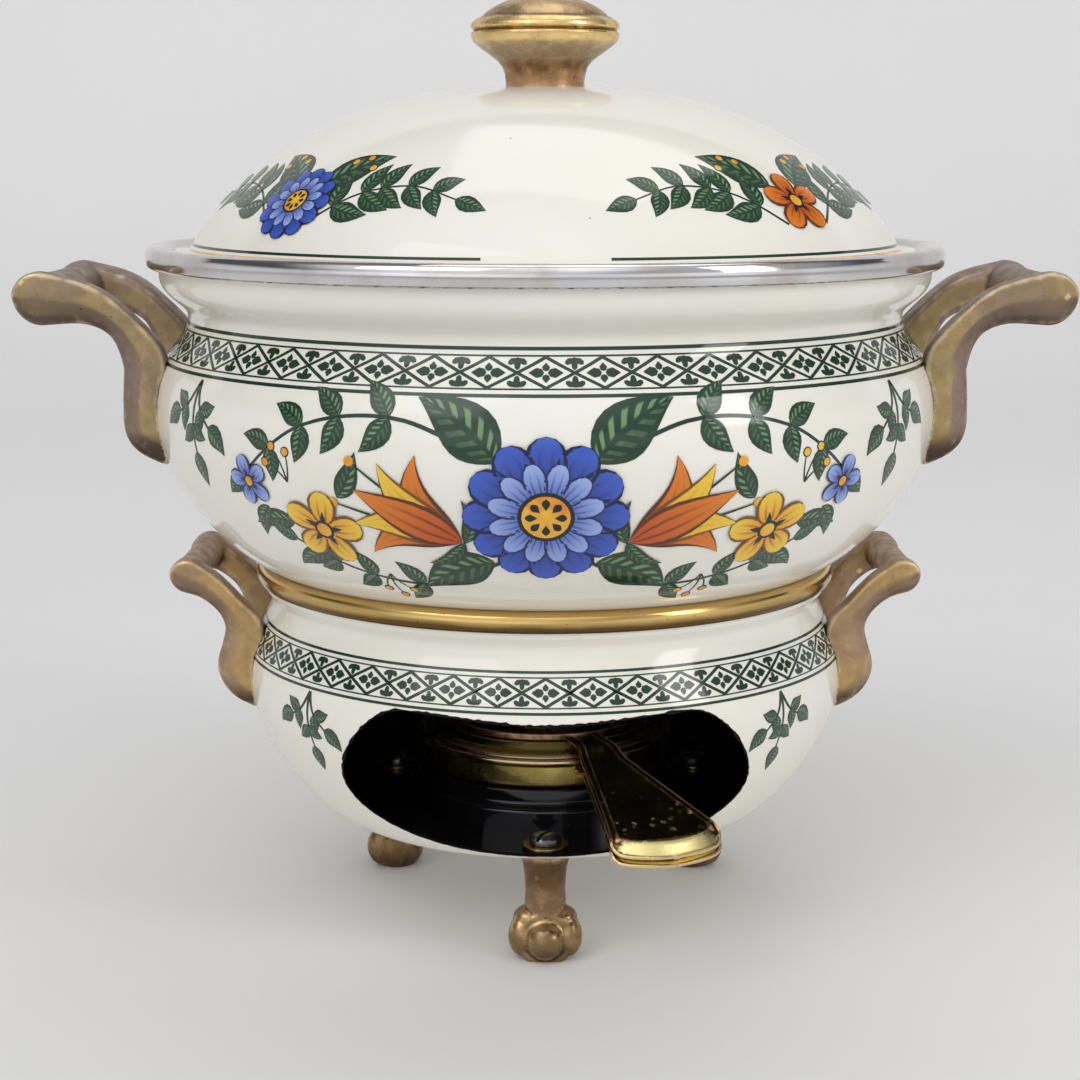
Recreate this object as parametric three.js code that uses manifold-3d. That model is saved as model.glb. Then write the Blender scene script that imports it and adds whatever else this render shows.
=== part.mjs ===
// Enamelled chafing dish: a lidded pot on a bowl-shaped stand, with a spirit burner inside the stand.
// Millimetres, +Z up. The feet stand on z = 0, the stand's opening faces -Y and the handles lie along X.
import * as THREE from 'three';
import { mergeVertices } from 'three/addons/utils/BufferGeometryUtils.js';
import Module from 'manifold-3d';

const wasm = await Module();
wasm.setup();

// Fits, sheet metal and facets
const clearance = 0.3;
const enamelSheet = 1.2;
const brassSheet = 0.9;
const vesselSteps = 32;
const burnerSteps = 20;
const turnedSteps = 18;
const castSteps = 10;
const screwSteps = 8;

// Stand: a drawn bowl on three feet
const footHeight = 33.6;
const standFloorRadius = 66;
const footInset = 7.5;
const footCircle = standFloorRadius - footInset;
const standHeelReach = 8;
const standBellyRadius = 95.6;
const standBellyRise = 45;
const standNeckRadius = 87.6;
const standShoulderRise = 24;
const standRimRadius = 90.2;
const standRimRise = 9;
const standRingSheet = 1.2;
const standRingBead = 2.1;
const standRingSkirt = 3.7;
const standRingCrown = 2.3;

// Bean-shaped opening in the stand's front
const openingWidth = 120;
const openingHeight = 48.6;
const openingSill = 2.3;
const openingDip = 2.2;

// Claw-and-ball foot: a straight stem, a fist and the ball that it holds
const footTopRadius = 7.2;
const footNeckRadius = 5.9;
const fistWidth = 19.6;
const fistDepth = 16.8;
const fistHeight = 16.6;
const fistMiddle = 7;
const footBallRadius = 5.6;
const footBallForward = 4.6;
const clawRadius = 4.4;
const archThickness = 3.4;

// Pot: belly, neck and rim, from its flat bottom up
const potBottomRadius = 64;
const potHeelReach = 35;
const potBellyRadius = 122.6;
const potBellyRise = 55;
const potNeckRadius = 111.5;
const potShoulderRise = 29.5;
const potRimRadius = 120.2;
const potRimRise = 18;
const potRingWidth = 3.5;
const potRingSkirt = 3.6;
const potRingCrown = 2.8;
const ledgeWall = 2.2;
const ledgeSheet = 1;
const lidLedge = 7;

// Lid and its knob
const lidRise = 49;
const lidShoulder = 8.2;
const lidCrownReach = 54.4;
const lidSkirt = 7.2;
const lidFlange = 5;
const lidPlay = 1.6;
const knobStemRadius = 12.4;
const knobRadius = 23.4;
const knobHeight = 28.4;

// Loop handles: spread over both arms, and thickness of one arm
const potHandleSpread = 72;
const potHandleArm = 12;
const standHandleSpread = 54;
const standHandleArm = 10;

// Spirit burner
const seatHeight = 12.1;
const seatMargin = 1;
const seatFlare = 2.6;
const panRadius = 40;
const panHeight = 9.6;
const panLip = 1.6;
const wadThickness = 4.6;
const gauzeThickness = 0.6;
const coverStep = 4.6;
const coverRise = 2.4;
const collarRadius = 14.6;
const ventCount = 6;
const ventInner = 19;
const ventOuter = 27;
const handlePlace = 0.285;
const handleReach = 104;
const handleEndWidth = 34.6;
const handleRootWidth = 11.4;
const handleKnee = 13;
const handleSlope = 0.2;
const handleDroop = 3.4;
const panHandleDrop = 5.2;
const handleGap = 3;
const handleBead = 1.2;

// Screws and washers
const screwRadius = 2;
const screwHeadRadius = 4.8;
const screwHeadHeight = 3.2;
const screwGrip = 7;
const screwSlot = 1.3;
const washerRadius = 7;
const washerThickness = 1;

// Heights that follow from these
const standFloor = footHeight;
const standInside = standFloor + enamelSheet;
const standBelly = standFloor + standBellyRise;
const standNeck = standBelly + standShoulderRise;
const standRim = standNeck + standRimRise;
const potNeck = potBellyRise + potShoulderRise;
const potRim = potNeck + potRimRise;
const screwHole = screwRadius + clearance;

// Finishes
const creamEnamel = { color: 0xf0ede0, roughness: 0.16, metalness: 0 };
const blackEnamel = { color: 0x0d0d11, roughness: 0.14, metalness: 0 };
const steel = { color: 0xb8bbc0, roughness: 0.18, metalness: 1 };
const screwSteel = { color: 0x8b8a86, roughness: 0.42, metalness: 1 };
const polishedBrass = { color: 0xc8a046, roughness: 0.2, metalness: 1 };
const agedBrass = { color: 0x8e6d43, roughness: 0.5, metalness: 1 };
const fibre = { color: 0xd8d1bf, roughness: 0.95, metalness: 0 };
const wireGauze = { color: 0x9b998f, roughness: 0.45, metalness: 1 };

// A closed mesh as a solid that can be joined and cut.
function solid(geometry) {
  const bare = geometry.clone();
  bare.deleteAttribute('normal');
  bare.deleteAttribute('uv');
  const merged = mergeVertices(bare, 1e-4);
  const vertProperties = merged.attributes.position.array;
  const triVerts = new Uint32Array(merged.index.array);
  return new wasm.Manifold(new wasm.Mesh({ numProp: 3, vertProperties, triVerts }));
}

// A joined or cut solid as a geometry with flat faces.
function geometryOf(body) {
  const mesh = body.getMesh();
  const geometry = new THREE.BufferGeometry();
  geometry.setAttribute('position', new THREE.BufferAttribute(mesh.vertProperties, 3));
  geometry.setIndex(new THREE.BufferAttribute(mesh.triVerts, 1));
  const faceted = geometry.toNonIndexed();
  faceted.computeVertexNormals();
  return faceted;
}

// A named piece with its own material.
function piece(name, body, finish) {
  const mesh = new THREE.Mesh(geometryOf(body), new THREE.MeshStandardMaterial(finish));
  mesh.name = name;
  return mesh;
}

// An anticlockwise [radius, height] outline turned round the Z axis.
function revolve(outline, steps) {
  const points = outline.map(([radius, height]) => new THREE.Vector2(radius, height));
  return solid(new THREE.LatheGeometry(points, steps).rotateX(Math.PI / 2));
}

// A cubic curve from the first to the last of four [radius, height] points.
function bend(from, leave, arrive, to, steps) {
  const corners = [from, leave, arrive, to].map(([radius, height]) => new THREE.Vector2(radius, height));
  return new THREE.CubicBezierCurve(...corners).getPoints(steps).map((point) => [point.x, point.y]);
}

// The crown of a rolled edge: half an ellipse over the inner and outer radius, from outside in.
function crown(outer, inner, base, rise, steps) {
  const middle = (outer + inner) / 2;
  const half = (outer - inner) / 2;
  return Array.from({ length: steps + 1 }, (_, i) => {
    const angle = (Math.PI * i) / steps;
    return [middle + half * Math.cos(angle), base + rise * Math.sin(angle)];
  });
}

// A line moved to its left by a distance.
function offset(line, distance) {
  return line.map(([radius, height], i) => {
    const before = line[Math.max(i - 1, 0)];
    const after = line[Math.min(i + 1, line.length - 1)];
    const run = after[0] - before[0];
    const climb = after[1] - before[1];
    const length = Math.hypot(run, climb);
    return [radius - (climb / length) * distance, height + (run / length) * distance];
  });
}

// Closed outline of a sheet whose outer face follows a line, with its thickness on the line's left.
function sheet(line, thickness) {
  return [...line, ...offset(line, thickness).reverse(), line[0]];
}

// Height of a rising line at a radius.
function heightAt(line, radius) {
  const next = Math.max(line.findIndex((point) => point[0] >= radius), 1);
  const [r0, z0] = line[next - 1];
  const [r1, z1] = line[next];
  return z0 + ((z1 - z0) * (radius - r0)) / (r1 - r0);
}

// Radius of a rising line at a height.
function radiusAt(line, height) {
  const next = Math.max(line.findIndex((point) => point[1] >= height), 1);
  const [r0, z0] = line[next - 1];
  const [r1, z1] = line[next];
  return r0 + ((r1 - r0) * (height - z0)) / (z1 - z0);
}

// A cylinder along Z from one height to another.
function rod(radius, low, high, steps) {
  return revolve([[0, low], [radius, low], [radius, high], [0, high]], steps);
}

// A block given by its middle and its lengths.
function block(x, y, z, alongX, alongY, alongZ) {
  return solid(new THREE.BoxGeometry(alongX, alongY, alongZ).translate(x, y, z));
}

// Slotted screw along Z: the underside of its head lies at 0 and the shank points down.
function screw(grip) {
  const slotDepth = screwHeadHeight / 2;
  const body = revolve([
    [0, -grip],
    [screwRadius, -grip],
    [screwRadius, 0],
    [screwHeadRadius, 0],
    [screwHeadRadius, screwHeadHeight * 0.5],
    [screwHeadRadius * 0.7, screwHeadHeight],
    [0, screwHeadHeight],
  ], screwSteps);
  return body.subtract(block(0, 0, screwHeadHeight, screwHeadRadius * 3, screwSlot, slotDepth * 2));
}

function washer(radius) {
  return revolve([
    [screwHole, 0],
    [radius, 0],
    [radius, washerThickness],
    [screwHole, washerThickness],
    [screwHole, 0],
  ], castSteps);
}

// Stand bowl: outer line from the middle of the floor to the rim
const standLine = [
  [0, standFloor],
  ...bend(
    [standFloorRadius, standFloor],
    [standFloorRadius + standHeelReach, standFloor],
    [standBellyRadius, standBelly - standBellyRise * 0.43],
    [standBellyRadius, standBelly],
    4,
  ),
  ...bend(
    [standBellyRadius, standBelly],
    [standBellyRadius, standBelly + standShoulderRise * 0.48],
    [standNeckRadius, standNeck - standShoulderRise * 0.22],
    [standNeckRadius, standNeck],
    3,
  ).slice(1),
  [standRimRadius, standRim - standRimRise * 0.45],
  [standRimRadius, standRim],
];

const standMount = {
  line: standLine,
  bellyRadius: standBellyRadius,
  bellyHeight: standBelly,
  spread: standHandleSpread,
  arm: standHandleArm,
};
const standHandleSpine = [
  [-7, -6.5, 3.2],
  [-0.5, -2.2, 4.2],
  [1.7, 3.2, 5.8],
  [0.4, 9.5, 5.7],
  [-1.2, 15.6, 6.3],
  [2.9, 22.8, 4.4],
  [9.5, 29.2, 4.7],
  [16.1, 32.5, 5.7],
];

// Opening: a wide bean, flatter and dipped along the top, cut straight back through the front wall.
function openingCutter() {
  const half = openingWidth / 2;
  const lobe = half * 0.68;
  const low = standFloor + openingSill;
  const side = low + openingHeight * 0.53;
  const high = low + openingHeight;
  const bean = new THREE.Shape();
  bean.moveTo(0, low);
  bean.bezierCurveTo(half * 0.6, low, half, low + openingHeight * 0.22, half, side);
  bean.bezierCurveTo(half, low + openingHeight * 0.72, half * 0.85, high, lobe, high);
  bean.bezierCurveTo(lobe * 0.66, high, lobe * 0.33, high - openingDip, 0, high - openingDip);
  bean.bezierCurveTo(-lobe * 0.33, high - openingDip, -lobe * 0.66, high, -lobe, high);
  bean.bezierCurveTo(-half * 0.85, high, -half, low + openingHeight * 0.72, -half, side);
  bean.bezierCurveTo(-half, low + openingHeight * 0.22, -half * 0.6, low, 0, low);
  const depth = standBellyRadius;
  const cutter = new THREE.ExtrudeGeometry(bean, { depth, bevelEnabled: false, curveSegments: 6 });
  return solid(cutter.rotateX(Math.PI / 2).translate(0, -standBellyRadius * 0.4, 0));
}

// Where a handle screw goes through a vessel's wall at its belly, and the way that it points.
// The head's upper and lower edge clear the curve of the wall.
function handleScrewPlace({ line, bellyRadius, bellyHeight, spread, arm }, side, end) {
  const bearing = Math.asin((spread - arm) / 2 / bellyRadius);
  const outward = new THREE.Vector3(side * Math.cos(bearing), end * Math.sin(bearing), 0);
  const lining = offset(line, enamelSheet);
  const edges = [-screwHeadRadius, screwHeadRadius].map((rise) => radiusAt(lining, bellyHeight + rise));
  const flat = Math.min(...edges) * Math.cos(Math.PI / vesselSteps);
  const seat = outward.clone().multiplyScalar(flat - clearance).setZ(bellyHeight);
  const turn = new THREE.Quaternion().setFromUnitVectors(new THREE.Vector3(0, 0, -1), outward);
  return { seat, turn };
}

const handleSides = [['left', -1], ['right', 1]];
const handleEnds = [['front', -1], ['back', 1]];

// Holes through a vessel's wall for its four handle screws.
function handleScrewHoles(mount) {
  const holes = [];
  for (const [, side] of handleSides) {
    for (const [, end] of handleEnds) {
      const place = handleScrewPlace(mount, side, end);
      const depth = screwGrip + clearance;
      const drill = new THREE.CylinderGeometry(screwHole, screwHole, depth * 2, screwSteps);
      drill.rotateX(Math.PI / 2).applyQuaternion(place.turn).translate(place.seat.x, place.seat.y, place.seat.z);
      holes.push(solid(drill));
    }
  }
  return holes;
}

// Outline of a bar with round ends along a spine of [x, z, half width] points.
function ribbon(spine, steps) {
  const path = new THREE.CatmullRomCurve3(spine.map((point) => new THREE.Vector3(...point)));
  const along = path.getPoints(steps);
  const edge = (i, turn) => {
    const before = along[Math.max(i - 1, 0)];
    const after = along[Math.min(i + 1, steps)];
    const angle = Math.atan2(after.y - before.y, after.x - before.x) + turn;
    const { x, y, z } = along[i];
    return new THREE.Vector2(x + z * Math.cos(angle), y + z * Math.sin(angle));
  };
  const quarter = Math.PI / 2;
  const capTurns = [0.5, 0, -0.5];
  const left = along.map((_, i) => edge(i, quarter));
  const right = along.map((_, i) => edge(i, -quarter)).reverse();
  const farCap = capTurns.map((share) => edge(steps, share * quarter));
  const nearCap = capTurns.map((share) => edge(0, share * quarter + Math.PI));
  return new THREE.Shape([...left, ...farCap, ...right, ...nearCap]);
}

// Cast loop handle on the +X side: two S-shaped arms with flat outer cheeks and rounded inner edges,
// joined near their tips by a waisted grip. It is coped to the vessel, with blind holes for its screws.
function loopHandle({ spine, spread, arm, vessel, holes }) {
  const rounding = arm * 0.35;
  const shape = ribbon(spine, (spine.length - 1) * 2);
  const slab = {
    depth: arm - rounding,
    bevelThickness: rounding,
    bevelSize: rounding * 0.6,
    bevelOffset: -rounding * 0.6,
    bevelSegments: 1,
  };
  const [tipX, tipZ, tipRadius] = spine[spine.length - 1];
  const grip = (spread - arm) / 2;
  const ends = tipRadius * 0.92;
  const waist = tipRadius * 0.84;
  const gripOutline = [[0, -grip], [ends, -grip], [ends, arm / 2 - grip], [waist, arm * 1.3 - grip]];
  const mirrored = gripOutline.map(([radius, y]) => [radius, -y]).reverse();
  const turned = [...gripOutline, ...mirrored].map((point) => new THREE.Vector2(...point));
  let body = solid(new THREE.LatheGeometry(turned, castSteps).translate(tipX, 0, tipZ));
  for (const [, end] of handleEnds) {
    const blank = new THREE.ExtrudeGeometry(shape, slab).rotateX(Math.PI / 2);
    blank.translate(0, (end * (spread + rounding)) / 2 + (slab.depth - end * arm) / 2, 0);
    const reach = tipX + tipRadius;
    const cheek = block(reach / 2, end * (spread / 2 + arm), tipZ, reach * 2, arm * 2, reach * 2);
    body = body.add(solid(blank).subtract(cheek));
  }
  const coped = body.subtract(vessel);
  return holes.reduce((rest, hole) => rest.subtract(hole), coped);
}

// A vessel's outer line filled to the axis and swollen by the clearance, to cope its handles.
function coping(line) {
  const swollen = offset(line, -clearance);
  const [, top] = swollen[swollen.length - 1];
  return revolve([[0, swollen[0][1]], ...swollen.slice(1), [0, top]], vesselSteps);
}

// Two handles and four screws on a vessel.
function addHandles(group, vesselName, mount, spine) {
  const { line, bellyRadius, bellyHeight, spread, arm } = mount;
  const vessel = coping(line);
  const holes = handleScrewHoles(mount);
  const placed = spine.map(([x, z, half]) => [bellyRadius + x, bellyHeight + z, half]);
  const body = loopHandle({ spine: placed, spread, arm, vessel, holes });
  for (const [sideName, side] of handleSides) {
    const handle = piece(`${vesselName}_handle_${sideName}`, body, agedBrass);
    handle.rotation.z = side < 0 ? Math.PI : 0;
    group.add(handle);
    for (const [endName, end] of handleEnds) {
      const place = handleScrewPlace(mount, side, end);
      const fastener = piece(`${vesselName}_handle_screw_${sideName}_${endName}`, screw(screwGrip), screwSteel);
      fastener.position.copy(place.seat);
      fastener.quaternion.copy(place.turn);
      group.add(fastener);
    }
  }
}

// Claw-and-ball foot standing at the origin.
// The fist holds its ball towards -Y, in an arch between two claws.
function foot() {
  const stem = revolve([
    [0, fistMiddle],
    [footNeckRadius, fistMiddle],
    [footNeckRadius, footHeight - footTopRadius],
    [footNeckRadius * 1.08, footHeight - footTopRadius * 0.5],
    [footTopRadius, footHeight - footTopRadius * 0.15],
    [footTopRadius, footHeight],
    [screwHole, footHeight],
    [screwHole, footHeight - screwGrip - clearance],
    [0, footHeight - screwGrip - clearance],
  ], castSteps);
  const lump = (radius) => new THREE.SphereGeometry(radius, castSteps, 6).rotateX(Math.PI / 2);
  const fist = lump(1).scale(fistWidth / 2, fistDepth / 2, fistHeight - fistMiddle);
  const ball = lump(footBallRadius).translate(0, -footBallForward, fistMiddle);
  const archRadius = footBallRadius + archThickness / 4;
  const arch = new THREE.TorusGeometry(archRadius, archThickness / 2, 6, castSteps).rotateX(Math.PI / 2);
  let body = stem.add(solid(fist.translate(0, 0, fistMiddle))).add(solid(ball));
  body = body.add(solid(arch.translate(0, -footBallForward, fistMiddle)));
  const clawPlace = fistWidth / 2 - clawRadius * 0.65;
  for (const side of [-1, 1]) {
    const claw = lump(clawRadius).translate(side * clawPlace, -clawRadius / 2, fistMiddle);
    body = body.add(solid(claw));
  }
  return body.subtract(block(0, 0, -fistHeight / 2, fistWidth * 2, fistWidth * 2, fistHeight));
}

const footBearings = [
  ['front', -Math.PI / 2],
  ['back_right', Math.PI / 6],
  ['back_left', (Math.PI * 5) / 6],
];

function standGroup() {
  const group = new THREE.Group();
  let bowl = revolve(sheet(standLine, enamelSheet), vesselSteps).subtract(openingCutter());
  for (const hole of handleScrewHoles(standMount)) bowl = bowl.subtract(hole);
  for (const [name, bearing] of footBearings) {
    const x = footCircle * Math.cos(bearing);
    const y = footCircle * Math.sin(bearing);
    const drill = new THREE.CylinderGeometry(screwHole, screwHole, footHeight, screwSteps);
    bowl = bowl.subtract(solid(drill.rotateX(Math.PI / 2).translate(x, y, standFloor)));
    const leg = piece(`foot_${name}`, foot(), agedBrass);
    leg.position.set(x, y, 0);
    leg.rotation.z = bearing + Math.PI / 2;
    const plate = piece(`foot_washer_${name}`, washer(washerRadius), polishedBrass);
    plate.position.set(x, y, standInside);
    const grip = screwGrip + enamelSheet + washerThickness;
    const fastener = piece(`foot_screw_${name}`, screw(grip), screwSteel);
    fastener.position.set(x, y, standInside + washerThickness);
    fastener.rotation.z = bearing + (Math.PI * 5) / 6;
    group.add(leg, plate, fastener);
  }
  group.add(piece('stand_bowl', bowl, creamEnamel));
  group.add(piece('stand_rim_ring', revolve(standRingOutline, vesselSteps), polishedBrass));
  addHandles(group, 'stand', standMount, standHandleSpine);
  return group;
}

// Brass ring rolled over the stand's rim
const standGrooveOuter = standRimRadius + clearance;
const standGrooveInner = standRimRadius - enamelSheet - clearance;
const standGrooveTop = standRim + clearance;
const standRingOuter = standGrooveOuter + standRingSheet;
const standRingInner = standGrooveInner - standRingBead;
const standRingOutline = [
  [standGrooveOuter, standRim - standRingSkirt],
  [standRingOuter, standRim - standRingSkirt],
  ...crown(standRingOuter, standRingInner, standGrooveTop, standRingCrown, 4),
  [standRingInner, standRim - standRingSkirt * 0.7],
  [standGrooveInner, standRim - standRingSkirt * 0.7],
  [standGrooveInner, standGrooveTop],
  [standGrooveOuter, standGrooveTop],
  [standGrooveOuter, standRim - standRingSkirt],
];

// Burner: heights from the stand's inside floor
const seatRadius = panRadius + seatMargin;
const panBase = seatHeight + clearance;
const wadBase = panBase + brassSheet;
const gauzeBase = wadBase + wadThickness;
const coverBase = gauzeBase + gauzeThickness;
const panRim = panBase + panHeight;
const coverTop = panRim + coverRise + brassSheet;
const plateBase = coverTop + clearance;
const coverRadius = panRadius - brassSheet - clearance;
const plateRadius = coverRadius - coverStep - brassSheet * 2;
const handleBearing = Math.asin((openingWidth * handlePlace) / standBellyRadius);

// Pressed seat under the burner, open below
function burnerSeat() {
  const step = seatHeight / 2;
  return revolve(sheet([
    [seatRadius + seatFlare, 0],
    [seatRadius + seatFlare, step],
    [seatRadius, step + seatFlare * 0.6],
    [seatRadius, seatHeight],
    [0, seatHeight],
  ], enamelSheet), burnerSteps);
}

function burnerPan() {
  const lip = panRim - panLip;
  return revolve(sheet([
    [0, panBase],
    [panRadius, panBase],
    [panRadius, lip - panLip / 4],
    [panRadius + panLip, lip + panLip / 4],
    [panRadius + panLip, panRim - panLip / 4],
    [panRadius + panLip / 4, panRim],
  ], brassSheet), burnerSteps);
}

// Vents: sectors that a half turn of the pitch opens and closes
function cutVents(plate, low, high) {
  const pitch = (Math.PI * 2) / ventCount;
  const sector = new THREE.Shape();
  sector.absarc(0, 0, ventOuter, -pitch / 5, pitch / 5, false);
  sector.absarc(0, 0, ventInner, pitch / 5, -pitch / 5, true);
  const options = { depth: high - low, bevelEnabled: false, curveSegments: 1 };
  let cut = plate;
  for (let i = 0; i < ventCount; i += 1) {
    const vent = new THREE.ExtrudeGeometry(sector, options).rotateZ(handleBearing + pitch * i);
    cut = cut.subtract(solid(vent.translate(0, 0, low)));
  }
  return cut;
}

function burnerCover() {
  const shoulder = coverRadius - coverStep;
  const cover = revolve(sheet([
    [coverRadius, coverBase],
    [coverRadius, panRim],
    [coverRadius - brassSheet, panRim + brassSheet],
    [shoulder, panRim + brassSheet],
    [shoulder - brassSheet, coverTop],
    [collarRadius + clearance / 2, coverTop],
    [collarRadius, coverTop + clearance / 2],
    [collarRadius, plateBase + brassSheet + clearance * 2],
    [collarRadius + brassSheet * 2, plateBase + brassSheet * 2 + clearance],
  ], brassSheet), burnerSteps);
  return cutVents(cover, panRim + brassSheet, coverTop + brassSheet);
}

// Solid through a row of sections, each a closed list of [x, y, z] points.
function loft(sections) {
  const count = sections[0].length;
  const index = [];
  for (let i = 0; i + 1 < sections.length; i += 1) {
    for (let k = 0; k < count; k += 1) {
      const here = i * count + k;
      const beside = i * count + ((k + 1) % count);
      index.push(here, beside, beside + count, here, beside + count, here + count);
    }
  }
  const face = sections[0].map(([, y, z]) => new THREE.Vector2(y, z));
  const last = (sections.length - 1) * count;
  for (const [a, b, c] of THREE.ShapeUtils.triangulateShape(face, [])) {
    index.push(a, c, b, last + a, last + b, last + c);
  }
  const geometry = new THREE.BufferGeometry();
  geometry.setAttribute('position', new THREE.Float32BufferAttribute(sections.flat(2), 3));
  geometry.setIndex(index);
  return solid(geometry);
}

// Stamped burner handle along +X: a tapered strip with a raised bead round its edge.
// It leaves its root level, bends down at the pan's rim and droops to a broad round end.
function burnerHandle(rootRadius, rootHeight, lift) {
  const bendRadius = panRadius + panLip * 2;
  const kneeRadius = panRadius + handleKnee;
  const broadRadius = handleReach - handleEndWidth * 0.22;
  const droop = (radius) => panBase - handleDroop + (handleReach - radius) * handleSlope + lift;
  const widen = (radius) => {
    const share = (radius - panRadius) / (broadRadius - panRadius);
    return (handleRootWidth + (handleEndWidth - handleRootWidth) * Math.max(share, 0)) / 2;
  };
  const round = (share) => [
    broadRadius + (handleReach - broadRadius) * share,
    (handleEndWidth / 2) * Math.sqrt(1 - share * share),
  ];
  const rims = [0.55, 0.85, 0.97].map(round);
  const middle = (kneeRadius + broadRadius) / 2;
  const stations = [
    [rootRadius, widen(rootRadius), rootHeight],
    [bendRadius, widen(bendRadius), rootHeight],
    ...[kneeRadius, middle, broadRadius].map((radius) => [radius, widen(radius), droop(radius)]),
    ...rims.map(([radius, half]) => [radius, half, droop(radius)]),
  ];
  return loft(stations.map(([radius, half, height], i) => {
    const isEnd = i === stations.length - 1;
    const floor = isEnd ? height + handleBead + brassSheet : height + brassSheet;
    const rim = height + brassSheet + handleBead;
    const bead = Math.min(handleBead * 1.4, half * 0.3);
    return [
      [radius, -half, height],
      [radius, half, height],
      [radius, half, rim],
      [radius, half - bead, rim],
      [radius, half - bead * 1.6, floor],
      [radius, bead * 1.6 - half, floor],
      [radius, bead - half, rim],
      [radius, -half, rim],
    ];
  }));
}

// Turning plate over the cover's vents, with the upper handle in one piece with it
function burnerRegulator() {
  const bore = collarRadius + clearance;
  const plate = revolve([
    [bore, plateBase],
    [plateRadius, plateBase],
    [plateRadius, plateBase + brassSheet + handleBead],
    [plateRadius - handleBead, plateBase + brassSheet + handleBead],
    [plateRadius - handleBead * 1.6, plateBase + brassSheet],
    [bore, plateBase + brassSheet],
    [bore, plateBase],
  ], burnerSteps);
  const vented = cutVents(plate, plateBase - brassSheet, plateBase + brassSheet * 2);
  return { vented, handle: burnerHandle(plateRadius - handleBead, plateBase, handleGap) };
}

function burnerGroup() {
  const group = new THREE.Group();
  const turn = handleBearing - Math.PI / 2;
  group.position.z = standInside;
  group.add(piece('burner_seat', burnerSeat(), blackEnamel));
  group.add(piece('burner_pan', burnerPan(), polishedBrass));
  const lining = panRadius - brassSheet - clearance;
  group.add(piece('burner_wad', rod(lining, wadBase, gauzeBase, burnerSteps), fibre));
  group.add(piece('burner_gauze', rod(lining, gauzeBase, coverBase, burnerSteps), wireGauze));
  group.add(piece('burner_cover', burnerCover(), polishedBrass));
  const { vented, handle } = burnerRegulator();
  const upper = solid(geometryOf(handle).rotateZ(turn));
  group.add(piece('burner_regulator', vented.add(upper), polishedBrass));
  const lower = burnerHandle(panRadius + clearance, panRim - panHandleDrop, 0);
  const lowerHandle = piece('burner_pan_handle', lower, polishedBrass);
  lowerHandle.rotation.z = turn;
  group.add(lowerHandle);
  return group;
}

// Pot: outer line from the middle of its bottom to the rim
const potLine = [
  [0, 0],
  ...bend(
    [potBottomRadius, 0],
    [potBottomRadius + potHeelReach, 0],
    [potBellyRadius, potBellyRise * 0.63],
    [potBellyRadius, potBellyRise],
    5,
  ),
  ...bend(
    [potBellyRadius, potBellyRise],
    [potBellyRadius, potBellyRise + potShoulderRise * 0.66],
    [potNeckRadius, potNeck - potShoulderRise * 0.31],
    [potNeckRadius, potNeck],
    4,
  ).slice(1),
  ...bend(
    [potNeckRadius, potNeck],
    [potNeckRadius + (potRimRadius - potNeckRadius) * 0.4, potNeck + potRimRise * 0.12],
    [potRimRadius, potNeck + potRimRise * 0.4],
    [potRimRadius, potRim - potRingSkirt],
    2,
  ).slice(1),
  [potRimRadius, potRim],
];

const potMount = {
  line: potLine,
  bellyRadius: potBellyRadius,
  bellyHeight: potBellyRise,
  spread: potHandleSpread,
  arm: potHandleArm,
};
const potHandleSpine = [
  [-9.5, -11.4, 4.2],
  [-0.8, -5.2, 5.2],
  [0.2, 3, 5.6],
  [-0.3, 10, 6],
  [-0.9, 17, 6.9],
  [5.6, 27.2, 4.9],
  [15.6, 33.4, 6.1],
  [29.6, 35.2, 7.9],
];

// The pot stands with its curved underside on the stand's ring.
const potRest = Math.max(...standRingOutline.map(([radius, top]) => top - heightAt(potLine, radius)));
const potBase = potRest + clearance;

// Steel ring rolled over the pot's rim, with an inner ledge for the lid
const potGrooveOuter = potRimRadius + clearance;
const potGrooveInner = potRimRadius - enamelSheet - clearance;
const potGrooveTop = potRim + clearance;
const potRingOuter = potGrooveOuter + potRingWidth;
const ledgeInner = potGrooveInner - lidLedge;
const ledgeOuter = potGrooveInner - ledgeWall;
const ledgeTop = potGrooveTop;
const potRingOutline = [
  [potGrooveOuter, potRim - potRingSkirt],
  [potRingOuter, potRim - potRingSkirt],
  [potRingOuter, potGrooveTop + potRingCrown * 0.25],
  [potRingOuter - potRingWidth * 0.26, potGrooveTop + potRingCrown * 0.8],
  [potRingOuter - potRingWidth * 0.74, potGrooveTop + potRingCrown],
  [potGrooveInner, potGrooveTop + potRingCrown * 0.75],
  [ledgeOuter, ledgeTop],
  [ledgeInner, ledgeTop],
  [ledgeInner, ledgeTop - ledgeSheet],
  [potGrooveInner - ledgeSheet, ledgeTop - ledgeSheet],
  [potGrooveInner - ledgeSheet, potRim - potRingSkirt * 0.8],
  [potGrooveInner, potRim - potRingSkirt * 0.8],
  [potGrooveInner, potGrooveTop],
  [potGrooveOuter, potGrooveTop],
  [potGrooveOuter, potRim - potRingSkirt],
];

function potGroup() {
  const group = new THREE.Group();
  group.position.z = potBase;
  let bowl = revolve(sheet(potLine, enamelSheet), vesselSteps);
  for (const hole of handleScrewHoles(potMount)) bowl = bowl.subtract(hole);
  group.add(piece('pot_bowl', bowl, creamEnamel));
  group.add(piece('pot_rim_ring', revolve(potRingOutline, vesselSteps), steel));
  addHandles(group, 'pot', potMount, potHandleSpine);
  return group;
}

// Lid: heights from the top of the ring's ledge
const lidSeat = potBase + ledgeTop + clearance;
const skirtRadius = ledgeInner - lidPlay;
const flangeRadius = skirtRadius + lidFlange;
const domeBase = enamelSheet;

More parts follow.
